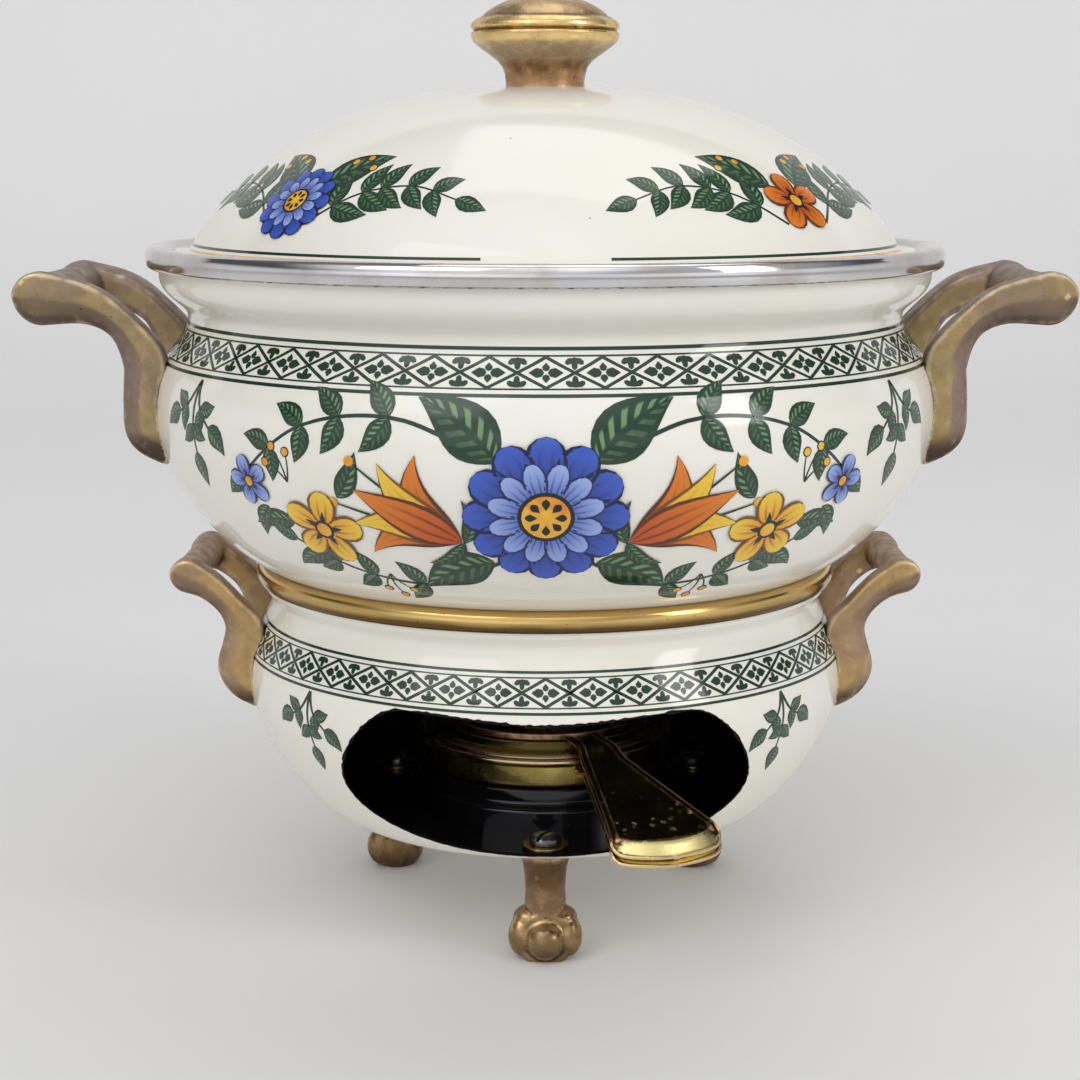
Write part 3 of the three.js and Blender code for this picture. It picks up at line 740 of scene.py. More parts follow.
def ring_brass():
    """Gilt brass, painted dark brown towards the lower edge of the stand's ring as a reflection of the
    stand's shoulder.
    """

    def draw(desk):
        gold = colours().gold
        _, _, z = desk.parts(desk.place())
        cloud = clouds(desk, scale=55.0, level=0.52, softness=0.25)
        ragged = desk.sums("ADD", z, desk.times(cloud, 0.0008))
        # low: the lower part of the ring, painted dark brown as a painted reflection of the stand's shoulder
        # below it.
        low = desk.ease(ragged, (STAND_RIM + 0.2) * MM, (STAND_RIM - 2) * MM)
        body = desk.blend(desk.times(cloud, 0.4), gold, tone(200, 160, 100))
        body = desk.blend(desk.times(low, 0.9), body, tone(88, 62, 36))
        spots = speckle(desk, scale=520.0, size=0.16, share=0.16)
        return {
            "Base Color": desk.blend(spots, body, tone(70, 48, 30)),
            "Metallic": 1.0,
            "Roughness": desk.ease(cloud, 0.0, 1.0, 0.12, 0.24),
            "Normal": wheel_marks(desk, lines=2200.0, strength=0.15, depth=0.1),
        }

    return shaded("brass_ring", draw)


def burner_brass():
    """Thin spun brass, yellow and a little tarnished, with burnt specks, rubbed edges and a painted highlight
    along the rolled lip.
    """

    def draw(desk):
        brass = colours().burner
        cloud = clouds(desk, scale=70.0, level=0.52, softness=0.2)
        wear = desk.use(edge_wear(), Reach=0.05)
        body = desk.blend(desk.times(cloud, 0.5), brass, tone(150, 120, 60))
        _, _, z = desk.parts(desk.place())
        # over_low and under_high mark the pan's rolled lip, painted pale pink as a highlight; rubbed joins
        # that painted highlight with the real rubbed edges.
        over_low = desk.ease(z, LIP_LOW * MM, (LIP_LOW + 0.5) * MM)
        under_high = desk.ease(z, (LIP_HIGH + 0.6) * MM, LIP_HIGH * MM)
        rubbed = desk.sums("MAXIMUM", desk.times(wear["Worn"], 0.8), desk.times(over_low, under_high))
        body = desk.blend(rubbed, body, tone(244, 206, 170))
        spots = speckle(desk, scale=330.0, size=0.2, share=0.1)
        return {
            "Base Color": desk.blend(spots, body, tone(52, 40, 22)),
            "Metallic": 1.0,
            "Roughness": desk.ease(cloud, 0.0, 1.0, 0.16, 0.34),
            "Normal": wheel_marks(desk, lines=1700.0, strength=0.25, depth=0.12),
        }

    return shaded("brass_burner", draw)


def handle_brass():
    """Stamped brass of the burner's handles, painted dark brown as a painted dark reflection, with rubbed
    beads and a rolled end painted bright as a highlight.
    """

    def draw(desk):
        place = desk.place()
        x, y, _ = desk.parts(place)
        ragged = desk.times(desk.noise(place, 520.0, 3.0), 3.4 * MM)
        reach = desk.sums("ADD", desk.from_axis(x, y), ragged)
        # rolled: the rolled end of a handle, painted pale yellow as a highlight; its lower roughness is real.
        rolled = desk.ease(reach, ROLL_START * MM, ROLL_END * MM)
        cloud = clouds(desk, scale=90.0, level=0.46, softness=0.22)
        wear = desk.use(edge_wear(), Reach=0.03)
        # The body's dark browns are a painted dark reflection.
        body = desk.blend(cloud, tone(78, 66, 32), tone(40, 34, 20))
        grains = speckle(desk, scale=360.0, size=0.48, share=0.34)
        broken = desk.ease(desk.noise(place, 1300.0, 4.0, 1.2), 0.5, 0.6)
        grains = desk.times(grains, broken)
        flecks = desk.times(grains, desk.ease(reach, 62 * MM, 98 * MM, 0.2, 0.95))
        body = desk.blend(flecks, body, tone(226, 200, 134))
        # Painted highlight on the rolled end.
        body = desk.blend(rolled, body, tone(242, 226, 158))
        body = desk.blend(desk.times(wear["Worn"], 0.85), body, tone(226, 184, 142))
        return {
            "Base Color": body,
            "Metallic": desk.ease(flecks, 0.0, 1.0, 1.0, 0.35),
            "Roughness": desk.ease(rolled, 0.0, 1.0, 0.3, 0.24),
            "Normal": desk.bump(desk.noise(place, 900.0, 2.0), 0.2, 0.12),
        }

    return shaded("brass_handle", draw)


def cast_bronze(
    name, lit, shade, rub, cheeks=0, underside_shade=0.7, worn=0.8, metal=0.6, rough=(0.4, 0.58), heel=0, mottle=0.35,
    banded=None,
):
    """Cast brass under an old patina: two browns, dark hollows, rubbed edges and pits.

    cheeks is how much the faces that look along Y keep the lit tone while the others take the shade colour, a
    painted shade on bevels and edges. below is how dark the faces that look down are, a painted shade on
    undersides; worn is how bright the edges are, heel the height under which it grows darker, mottle the
    strength of the fine patches, and banded can give a lit tone that changes over the piece.
    """

    def draw(desk):
        place = desk.place()
        dark = colours().umber
        broad = clouds(desk, scale=36.0, level=0.54, softness=0.05)
        fine = clouds(desk, scale=190.0, level=0.5, softness=0.16)
        wear = desk.use(edge_wear(), Reach=0.035)
        pits = speckle(desk, scale=330.0, size=0.2, share=0.05)
        grains = speckle(desk, scale=900.0, size=0.3, share=0.3)
        _, along, up = desk.parts(desk.add("ShaderNodeNewGeometry").outputs["Normal"])
        _, _, z = desk.parts(place)
        toward_heel = desk.sums("ADD", z, desk.times(fine, 0.0016))
        uneven = desk.sums("ADD", desk.sums("ABSOLUTE", along), desk.times(fine, 0.05))
        body = desk.blend(desk.times(broad, 0.5), banded(desk) if banded else lit, shade)
        for mask, share, colour in (
            # Faces that do not look along Y, the bevels and edges, take the shade colour: painted shade.
            (desk.ease(uneven, 0.99, 0.93), cheeks, shade),
            (fine, mottle, darker(lit, 0.5)),
            # Darker towards the lower end of a handle, under the height heel.
            (desk.ease(toward_heel, (heel + 7) * MM, heel * MM), 0.85 if heel else 0, dark),
            # Faces that look down take the dark tone: painted shade.
            (desk.ease(up, 0.0, -0.7), underside_shade, dark),
            (wear["Hollow"], 0.9, dark),
            (wear["Worn"], worn, rub),
            (grains, 0.3, dark),
            (pits, 0.85, darker(dark, 0.5)),
        ):
            body = desk.blend(desk.times(mask, share), body, colour)
        grain = desk.sums("SUBTRACT", desk.noise(place, 480.0, 5.0), desk.times(pits, 0.9))
        matt = desk.ease(fine, 0.0, 1.0, *rough)
        return {
            "Base Color": body,
            "Metallic": metal,
            "Roughness": desk.sums("SUBTRACT", matt, desk.times(wear["Worn"], 0.16 * worn)),
            "Normal": desk.bump(grain, 0.4, 0.3),
        }

    return shaded(name, draw)


def tinted(colour, *shares):
    """A colour with its red, green and blue scaled."""
    return tuple(min(value * share, 1) for value, share in zip(colour, shares))


def pot_bronze():
    """Patina of the pot's handles."""
    return cast_bronze(
        "bronze_pot_handles", colours().bronze, colours().mauve, tone(226, 206, 166), cheeks=0.9, underside_shade=0.75,
        heel=POT_BELLY[1] - 10,
    )


def stand_bronze():
    """Patina of the stand's handles, more golden."""
    lit = tinted(colours().bronze, 1.22, 1.12, 1.0)
    shade = tinted(colours().mauve, 1.35, 1.3, 1.15)
    return cast_bronze(
        "bronze_stand_handles", lit, shade, tone(236, 206, 156), cheeks=0.7, underside_shade=0.7,
        heel=STAND_BELLY[1] - 7,
    )


def rise_bands(low, tall, stops):
    """A tone that changes with the height over a piece's lowest point."""

    def banded(desk):
        _, _, z = desk.parts(desk.place())
        rise = desk.sums("DIVIDE", desk.sums("SUBTRACT", z, low * MM), tall * MM)
        return desk.ramp(rise, stops)

    return banded


def foot_bronze():
    """Patina of the feet: golden claws, a speckled red-brown stem partly darkened as a painted dark
    reflection, and a rubbed lip.
    """
    lit = tinted(colours().bronze, 0.8, 0.7, 0.62)
    shade = tinted(colours().umber, 1.5, 1.3, 1.2)
    banded = rise_bands(0, STAND_FLOOR, (
        (0, tone(160, 132, 92)), (0.3, tone(196, 166, 120)), (0.44, tone(184, 152, 112)),
        # The stem's tones from 0.52 to 0.92 are its red-brown, darkened further as a painted dark reflection.
        (0.52, tone(186, 154, 122)), (0.66, tone(164, 130, 100)), (0.76, tone(116, 84, 62)),
        (0.92, tone(124, 92, 68)), (0.96, tone(216, 182, 152)), (1, tone(216, 182, 152)),
    ))
    return cast_bronze(
        "bronze_feet", lit, shade, tone(226, 200, 148), underside_shade=0.45, worn=0.15, metal=0.9,
        rough=(0.22, 0.44), mottle=0.7, banded=banded,
    )


def knob_bronze():
    """Patina of the knob: a pitted stem, a grey cone, gilt bands and a tan cap."""
    lit = tinted(colours().bronze, 1.2, 1.05, 0.8)
    shade = tinted(colours().bronze, 0.8, 0.66, 0.56)
    banded = rise_bands(KNOB_BASE, KNOB_HEIGHT, (
        (0, tone(186, 142, 104)), (0.24, tone(200, 156, 108)), (0.3, tone(200, 180, 150)),
        (0.46, tone(208, 186, 154)), (0.49, tone(250, 214, 148)), (0.585, tone(244, 202, 134)),
        (0.6, tone(84, 56, 34)), (0.62, tone(252, 220, 156)), (0.72, tone(244, 206, 140)),
        (0.745, tone(92, 64, 40)), (0.77, tone(196, 164, 124)), (1, tone(216, 182, 130)),
    ))
    return cast_bronze(
        "bronze_knob", lit, shade, tone(244, 216, 154), underside_shade=0.1, metal=0.85, rough=(0.22, 0.4),
        banded=banded,
    )


def screw_steel():
    """Dull screw steel with dark slots."""

    def draw(desk):
        steel = colours().screw
        cloud = clouds(desk, scale=400.0, level=0.5, softness=0.2)
        wear = desk.use(edge_wear(), Reach=0.05)
        body = desk.blend(cloud, steel, darker(steel, 0.55))
        body = desk.blend(wear["Hollow"], body, tone(48, 42, 38))
        return {
            "Base Color": desk.blend(desk.times(wear["Worn"], 0.6), body, tone(206, 204, 198)),
            "Metallic": 1.0,
            "Roughness": desk.ease(cloud, 0.0, 1.0, 0.28, 0.5),
            "Normal": desk.bump(desk.noise(desk.place(), 1500.0), 0.2, 0.08),
        }

    return shaded("steel_screw", draw)


def washer_brass():
    """Plain brass of the washers."""

    def draw(desk):
        cloud = clouds(desk, scale=240.0, level=0.5, softness=0.25)
        body = desk.blend(cloud, tone(214, 182, 112), tone(150, 118, 66))
        return {
            "Base Color": body,
            "Metallic": 1.0,
            "Roughness": desk.ease(cloud, 0.0, 1.0, 0.24, 0.42),
            "Normal": desk.bump(desk.noise(desk.place(), 1200.0), 0.15, 0.08),
        }

    return shaded("brass_washer", draw)


def wad_fibre():
    """Packed mineral fibre, scorched in patches."""

    def draw(desk):
        place = desk.place()
        scorch = clouds(desk, scale=70.0, level=0.56, softness=0.12)
        tangle = desk.noise(place, 900.0, 5.0, 1.4)
        body = desk.blend(tangle, tone(196, 186, 164), tone(232, 226, 208))
        return {
            "Base Color": desk.blend(desk.times(scorch, 0.7), body, tone(112, 92, 70)),
            "Roughness": 0.95,
            "Normal": desk.bump(tangle, 0.8, 0.6),
        }

    return shaded("fibre_wad", draw)


def gauze_wire():
    """Heat-browned wire."""

    def draw(desk):
        heat = clouds(desk, scale=60.0, level=0.5, softness=0.25)
        return {
            "Base Color": desk.blend(heat, tone(164, 160, 150), tone(112, 92, 70)),
            "Metallic": 1.0,
            "Roughness": desk.ease(heat, 0.0, 1.0, 0.34, 0.5),
        }

    return shaded("wire_gauze", draw)


def flat_ink(name, colour, dark):
    """Ink of lines and dots, a little uneven."""

    def draw(desk):
        cloud = clouds(desk, scale=160.0, level=0.5, softness=0.3)
        return {"Base Color": desk.blend(cloud, colour, dark), **glaze(desk)}

    return shaded(name, draw)


def flower_ink(name, root, tip, outline):
    """Ink of one flower's petals."""

    def draw(desk):
        colour = desk.use(petal_ink(), Root=root, Tip=tip, Outline=outline)["Colour"]
        return {"Base Color": colour, **glaze(desk)}

    return shaded(name, draw)


def green_leaf_ink():
    """Ink of the leaves."""

    def draw(desk):
        colour = desk.use(leaf_ink(), Dark=colours().green, Light=colours().leaf)["Colour"]
        return {"Base Color": colour, **glaze(desk)}

    return shaded("ink_leaf", draw)


def edge_black():
    """Dull black of the opening's raw edge."""

    def draw(desk):
        cloud = clouds(desk, scale=300.0, level=0.5, softness=0.3)
        body = desk.blend(cloud, tone(12, 12, 14), tone(24, 22, 22))
        return {"Base Color": body, "Roughness": 0.75, "Specular IOR Level": 0.12}

    return shaded("edge_black", draw)


# Numbers of the print's inks
LINE, LEAF, ORANGE, YELLOW, BLUE, SKY, AMBER, DARK, EDGE = range(9)


def inks():
    """The print's materials, in the order of their numbers."""
    hue = colours()
    brown = tone(92, 44, 18)
    return [
        flat_ink("ink_line", hue.green, darker(hue.green, 0.75)),
        green_leaf_ink(),
        flower_ink("ink_orange", tone(190, 74, 18), hue.orange, brown),
        flower_ink("ink_yellow", tone(226, 150, 34), hue.yellow, tone(120, 76, 20)),
        flower_ink("ink_blue", tone(28, 40, 104), hue.blue, tone(20, 26, 66)),
        flower_ink("ink_sky", tone(58, 86, 178), tone(150, 172, 226), tone(26, 36, 92)),
        flat_ink("ink_amber", hue.yellow, hue.orange),
        flat_ink("ink_dark", tone(26, 34, 30), tone(18, 22, 20)),
        edge_black(),
    ]


# Prints, drawn flat in millimetres and then laid on a wall


def leaf_form(share):
    """Width of a pointed leaf along its length."""
    return math.sin(math.pi * share ** 0.78) * (1.1 - 0.3 * share)


def petal_form(share):
    """Width of a round-ended petal along its length."""
    full = 0.62
    if share < full:
        return 0.34 + 0.66 * math.sin(share / full * math.pi / 2)
    return math.sqrt(max(1 - ((share - full) / (1 - full)) ** 2, 0))


def drop_form(share):
    """Width of a drop with its round end away from the stem."""
    return math.sin(math.pi * share ** 1.5) ** 0.8 if 0 < share < 1 else 0


def disc_form(share):
    """Width of a disc along its middle."""
    return 2 * math.sqrt(max(share * (1 - share), 0))


def stem_form(share):
    """Width of a stem, thinner at its end."""
    return 1 - 0.45 * share


def even_form(share):
    """Width of a plain line."""
    return 1


def way_at(degrees):
    """A flat way at an angle from +X."""
    angle = math.radians(degrees)
    return Vector((math.cos(angle), math.sin(angle)))


def stroke_path(start, end, bow=0.0, steps=8):
    """Points from start to end, closer near the ends, bowed to the left."""
    start, end = Vector(start), Vector(end)
    side = Vector((start.y - end.y, end.x - start.x))
    shares = [(1 - math.cos(math.pi * i / steps)) / 2 for i in range(steps + 1)]
    return [start.lerp(end, s) + side * bow * 4 * s * (1 - s) for s in shares]


def curve_path(points, gap):
    """Points of a smooth stem through a few points, about a gap apart."""
    path = [point.to_2d() for point in flowing([(*point, 0) for point in points], 12)]
    kept = [path[0]]
    for point in path[1:-1]:
        if (point - kept[-1]).length >= gap:
            kept.append(point)
    return kept + [path[-1]]


class Stamp:
    """A flat motif of strokes, each with its ink and level, that can be pressed many times."""

    def __init__(self):
        self.bm = bmesh.new()
        self.bm.loops.layers.uv.new("stroke")

    def stroke(self, path, form, half, ink, level=0, across=4):
        """A stroke along a path, with a form of width and its half width."""
        steps = len(path) - 1
        made = bmesh.ops.create_grid(
            self.bm, x_segments=steps, y_segments=across, size=0.5, calc_uvs=True
        )["verts"]
        runs = [0.0]
        for before, after in zip(path, path[1:]):
            runs.append(runs[-1] + (after - before).length)
        for vert in made:
            i = round((vert.co.x + 0.5) * steps)
            ahead = path[min(i + 1, steps)] - path[max(i - 1, 0)]
            left = Vector((-ahead.y, ahead.x)).normalized()
            spot = path[i] + left * (vert.co.y * 2 * half * form(runs[i] / runs[-1]))
            vert.co = (spot.x, spot.y, level)
        for face in {face for vert in made for face in vert.link_faces}:
            face.material_index = ink
        bmesh.ops.remove_doubles(self.bm, verts=made, dist=1e-4)
        return self

    def dot(self, place, radius, ink, level=0, steps=6, across=4):
        """A round dot."""
        x, y = place
        path = stroke_path((x - radius, y), (x + radius, y), 0, steps)
        return self.stroke(path, disc_form, radius, ink, level, across)

    def petals(self, count, inner, outer, half, ink, level=0, turn=0.0, form=petal_form):
        """A ring of petals round the origin."""
        for i in range(count):
            angle = turn + math.tau * i / count
            way = Vector((math.cos(angle), math.sin(angle)))
            self.stroke(stroke_path(way * inner, way * outer), form, half, ink, level)
        return self

    def leaves(self, path, count, length, half, ink=LEAF, level=0, first=0.2, lean=48):
        """Leaves in pairs along a stem, and one at its tip, smaller towards the tip."""
        last = len(path) - 1
        for i in range(count):
            share = first + (1 - first) * i / count
            at = min(int(share * last), last - 1)
            heading = path[at + 1] - path[at]
            for side in (1, -1):
                way = heading.normalized()
                way.rotate(Matrix.Rotation(side * math.radians(lean), 2))
                size = length * (1 - 0.38 * share)
                self.stroke(
                    stroke_path(path[at], path[at] + way * size, 0.07 * side, 10), leaf_form,
                    half * (1 - 0.3 * share), ink, level,
                )
        tip = (path[-1] - path[-2]).normalized()
        end = stroke_path(path[-1], path[-1] + tip * length * 0.7)
        return self.stroke(end, leaf_form, half * 0.75, ink, level)

    def mesh(self):
        """The motif as a mesh for pressing."""
        mesh = bpy.data.meshes.new("stamp")
        self.bm.to_mesh(mesh)
        self.bm.free()
        return mesh


class Sheet:
    """A flat print of pressed stamps, laid on a wall round its middle height."""

    def __init__(self, wall, height=None, length=None):
        self.wall = wall
        self.origin = wall.length_at(height) if length is None else length
        self.radius = wall.at(self.origin)[0].x
        self.bm = bmesh.new()

    def press(self, stamp, along, up, turn=0.0, size=1.0, flip=1, level=0):
        """Presses a stamp at a place along and up the wall."""
        local = self.wall.at(self.origin + up)[0].x
        matrix = (
            Matrix.Translation((along, up, level))
            @ Matrix.Diagonal((self.radius / local, 1, 1, 1))
            @ Matrix.Rotation(math.radians(turn), 4, "Z")
            @ Matrix.Diagonal((size * flip, size, 1, 1))
        )
        stamp.transform(matrix)
        self.bm.from_mesh(stamp)
        stamp.transform(matrix.inverted())

    def ring(self, low, high, ink=LINE, level=0):
        """A line right round the vessel."""
        half = math.pi * self.radius
        steps = 180
        path = [Vector((half * (2 * i / steps - 1), (low + high) / 2)) for i in range(steps + 1)]
        self.line(path, (high - low) / 2, ink, level)

    def line(self, path, half, ink=LINE, level=0, form=even_form):
        """A line along a path on the wall."""
        mesh = Stamp().stroke(path, form, half, ink, level, across=2).mesh()
        self.bm.from_mesh(mesh)
        bpy.data.meshes.remove(mesh)

    def laid(self, name, body):
        """The finished print: thin closed ink on the wall, with the wall's own normals."""
        bm = self.bm
        facing = bm.verts.layers.float_vector.new("wall_normal")
        lift = sizes().print_lift / MM
        step = 0.035
        for vert in bm.verts:
            along, up, level = vert.co
            rise = lift + step * level
            vert.co, vert[facing] = self.wall.place(along / self.radius, self.origin + up, rise)
        bmesh.ops.remove_doubles(bm, verts=bm.verts[:], dist=1e-8)
        bm.normal_update()
        turned = [face for face in bm.faces if face.normal.dot(face.verts[0][facing]) < 0]
        bmesh.ops.reverse_faces(bm, faces=turned)
        bm.normal_update()
        bmesh.ops.solidify(bm, geom=bm.faces[:], thickness=sizes().print_depth)
        piece = finished(name, bm, body, "cream_enamel", inks(), crease=60)
        mesh = piece.data
        normals = [tuple(item.vector) for item in mesh.attributes["wall_normal"].data]
        mesh.normals_split_custom_set_from_vertices(normals)
        mesh.attributes.remove(mesh.attributes["wall_normal"])
        return piece


class Moved:
    """A sheet whose stamps are pressed higher or lower."""

    def __init__(self, sheet, up):
        self.sheet = sheet
        self.up = up

    def press(self, stamp, along, up, *rest):
        """Presses a stamp on the sheet."""
        self.sheet.press(stamp, along, up + self.up, *rest)


def lozenge_stamp(width, height):
    """One lozenge of a border, with a small four-leaved middle and leaf tips between it and the next."""
    stamp = Stamp()
    x, y = width / 2, height / 2
    corners = [Vector(corner) for corner in ((-x, 0), (0, y), (x, 0), (0, -y))]
    for start, end in zip(corners, corners[1:] + corners[:1]):
        stamp.stroke([start, start.lerp(end, 0.5), end], even_form, 0.45, LINE, across=1)
    for angle, reach in ((0, 0.6), (90, 0.66), (180, 0.6), (270, 0.66)):
        way = way_at(angle)
        size = reach * (x if angle % 180 == 0 else y)
        stamp.stroke(stroke_path(way * 0.5, way * size, 0, 4), leaf_form, size * 0.36, LINE, 1, 2)
    for side in (1, -1):
        root = Vector((x, side * y * 0.96))
        for angle, size in ((-90, 0.78), (-36, 0.66), (-144, 0.66)):
            way = way_at(side * angle)
            stamp.stroke(stroke_path(root, root + way * y * size, 0, 4), drop_form, y * 0.2, LINE, 1, 2)
    return stamp.mesh()


def border(sheet, low, high, pitch):
    """A band of lozenges between double lines right round a vessel."""
    around = math.tau * sheet.radius
    count = round(around / pitch)
    stamp = lozenge_stamp(around / count, high - low)
    for i in range(count):
        sheet.press(stamp, around * (i + 0.5) / count - around / 2, (low + high) / 2)
    bpy.data.meshes.remove(stamp)


def rosette_stamp(radius, outer=BLUE, inner=SKY):
    """A round double flower."""
    stamp = Stamp()
    stamp.petals(12, radius * 0.3, radius, radius * 0.25, outer, 3)
    stamp.petals(12, radius * 0.2, radius * 0.7, radius * 0.15, inner, 4, math.pi / 12)
    stamp.dot((0, 0), radius * 0.34, DARK, 5, 12, 8)
    stamp.dot((0, 0), radius * 0.29, AMBER, 6, 12, 8)
    stamp.petals(8, radius * 0.1, radius * 0.25, radius * 0.05, DARK, 7, 0, drop_form)
    return stamp.mesh()


def tulip_stamp(length):
    """A tulip standing on its root at the origin, with its sepals and stamens."""
    stamp = Stamp()
    for lean, bow, reach, half, level in (
        (40, -0.2, 0.86, 0.17, 2), (-40, 0.2, 0.86, 0.17, 2),
        (20, -0.1, 0.96, 0.18, 3), (-20, 0.1, 0.96, 0.18, 3), (0, 0, 1, 0.19, 4),
    ):
        tip = way_at(90 + lean) * length * reach
        ink = YELLOW if abs(lean) == 20 else ORANGE
        stamp.stroke(stroke_path((0, 0), tip, bow, 12), leaf_form, length * half, ink, level, 6)
    for lean in (-11, 11):
        way = way_at(90 + lean)
        stamp.stroke(stroke_path(way * length * 0.8, way * length * 1.12), stem_form, 0.3, LINE, 1, 2)
        stamp.dot(way * length * 1.14, length * 0.045, AMBER, 2)
    for lean, bow in ((66, 0.16), (-66, -0.16)):
        tip = way_at(90 + lean) * length * 0.42
        stamp.stroke(stroke_path((0, -length * 0.02), tip, bow, 8), leaf_form, length * 0.075, LEAF, 5)
    return stamp.mesh()


def star_stamp(radius, petal=YELLOW):
    """A five-petalled flower."""
    stamp = Stamp()
    stamp.petals(5, radius * 0.1, radius, radius * 0.36, petal, 3, math.pi / 2)
    stamp.petals(5, radius * 0.16, radius * 0.5, radius * 0.06, DARK, 4, math.pi / 2, leaf_form)
    stamp.dot((0, 0), radius * 0.25, DARK, 5, 8, 6)
    stamp.dot((0, 0), radius * 0.18, AMBER, 6, 8, 6)
    return stamp.mesh()


def leaf_stamp(length, half):
    """One broad leaf along +X."""
    return Stamp().stroke(stroke_path((0, 0), (length, 0), 0.07, 14), leaf_form, half, LEAF, 1, 8).mesh()


def sprig_stamp(points, pairs, length, half, gap=2.2):
    """A stem with paired leaves."""
    stamp = Stamp()
    path = curve_path(points, gap)
    stamp.stroke(path, stem_form, 0.42, LINE, 0, 2)
    stamp.leaves(path, pairs, length, half, LEAF, 1)
    return stamp.mesh()


def berry_stamp(reach, radius):
    """Three berries on thin stalks."""
    stamp = Stamp()
    for lean, share in ((-28, 0.82), (2, 1.0), (30, 0.8)):
        tip = way_at(90 + lean) * reach * share
        stamp.stroke(stroke_path((0, 0), tip, 0.08, 6), stem_form, 0.3, LINE, 0, 2)
        stamp.dot(tip, radius, DARK, 1)
        stamp.dot(tip, radius * 0.76, AMBER, 2)
    return stamp.mesh()


def garland(sheet, along, size=1.0):
    """A spray that mirrors about its middle: rosette, tulips, star flowers, leaves and sprigs."""
    rosette = rosette_stamp(sizes().rosette / MM)
    tulip = tulip_stamp(sizes().tulip / MM)
    star = star_stamp(sizes().star_flower / MM)
    small = star_stamp(sizes().star_flower / MM * 0.62, SKY)
    leaf = leaf_stamp(sizes().leaf / MM * 1.5, sizes().leaf / MM * 0.42)
    narrow = leaf_stamp(sizes().leaf / MM * 0.92, sizes().leaf / MM * 0.2)
    berries = berry_stamp(11, 1.5)
    vines = Stamp()
    low, high = [(10, -14), (32, -25), (54, -22), (72, -12)], [(12, 14), (36, 24), (62, 21), (84, 6)]
    for points, pairs, first in ((low, 3, 0.52), (high, 4, 0.36)):
        path = curve_path(points, 2.2)
        vines.stroke(path, stem_form, 0.6, LINE, 0, 2).leaves(path, pairs, 13.5, 3.7, LEAF, 1, first, 52)
    vines = vines.mesh()
    for flip in (1, -1):

        def press(stamp, x, y, turn=0.0, scale=1.0, level=0):
            """Presses a stamp on one side."""
            turned = turn if flip > 0 else -turn
            sheet.press(stamp, along + flip * x * size, y * size, turned, scale * size, flip, level)

        press(vines, 0, 0)
        press(leaf, 12, 14, 38, 1.0)
        press(leaf, 14, -15, -30, 0.92)
        press(tulip, 22, -8, -62, 1.05, 8)
        press(star, 62, -7, 12, 1.0, 10)
        press(small, 84, 5, -14, 1.0, 10)
        press(narrow, 64, -16, -24, 1.0)
        press(narrow, 55, 3, 118, 0.9)
        press(narrow, 72, -6, -8, 1.0)
        press(narrow, 80, -2, -56, 0.8)
        press(berries, 47, -22, 176, 0.9)
        press(berries, 70, 6, -26, 0.9)
    sheet.press(rosette, along, 0, 0, size, 1, 14)
    for stamp in (rosette, tulip, star, small, leaf, narrow, berries, vines):
        bpy.data.meshes.remove(stamp)


def drop_stamp():
    """A hanging sprig of curled leaves."""
    stamp = Stamp()
    stems = [(0, 0), (-2, -7), (-7, -12)], [(0, 0), (1, -9), (0, -19)], [(0, 0), (4, -6), (9, -9)]
    for points, lean in zip(stems, (-1, 0, 1)):
        path = curve_path(points, 1.8)
        stamp.stroke(path, stem_form, 0.6, LINE, 0, 2)
        tip, way = path[-1], (path[-1] - path[-2]).normalized()
        stamp.stroke(stroke_path(tip, tip + way * 9.5, 0.1 * lean, 8), leaf_form, 3.1, LEAF, 2)
        middle = path[len(path) // 2]
        for side in (1, -1):
            out = way.copy()
            out.rotate(Matrix.Rotation(side * 0.95, 2))
            stamp.stroke(stroke_path(middle, middle + out * 7.4, -0.08 * side, 8), leaf_form, 2.4, LEAF, 1)
    return stamp.mesh()


# The camera, in millimetres and degrees
LENS = 72
SENSOR = 36
CAMERA_PLACE = (-1.6, -685, 244)
CAMERA_DIP = 10.4

# The lamps, each with its name, its place and size in metres and its power, and the point that they look at
LAMPS = (
    ("key", (-0.9, -1.2, 1.4), (1.1, 1.1), 5),
    ("window", (1.15, -0.8, 0.8), (0.4, 0.8), 4.2),
    ("overhead", (0.1, 0.35, 1.45), (0.9, 0.9), 3.4),
)
LAMP_AIM = Vector((0, 0, 0.14))

# The glows of the surround, each with its direction, how narrow it is and its strength
GLOWS = (((-0.34, -0.7, 0.63), 0.97, 0.95), ((0.6, -0.56, 0.57), 0.98, 0.45))


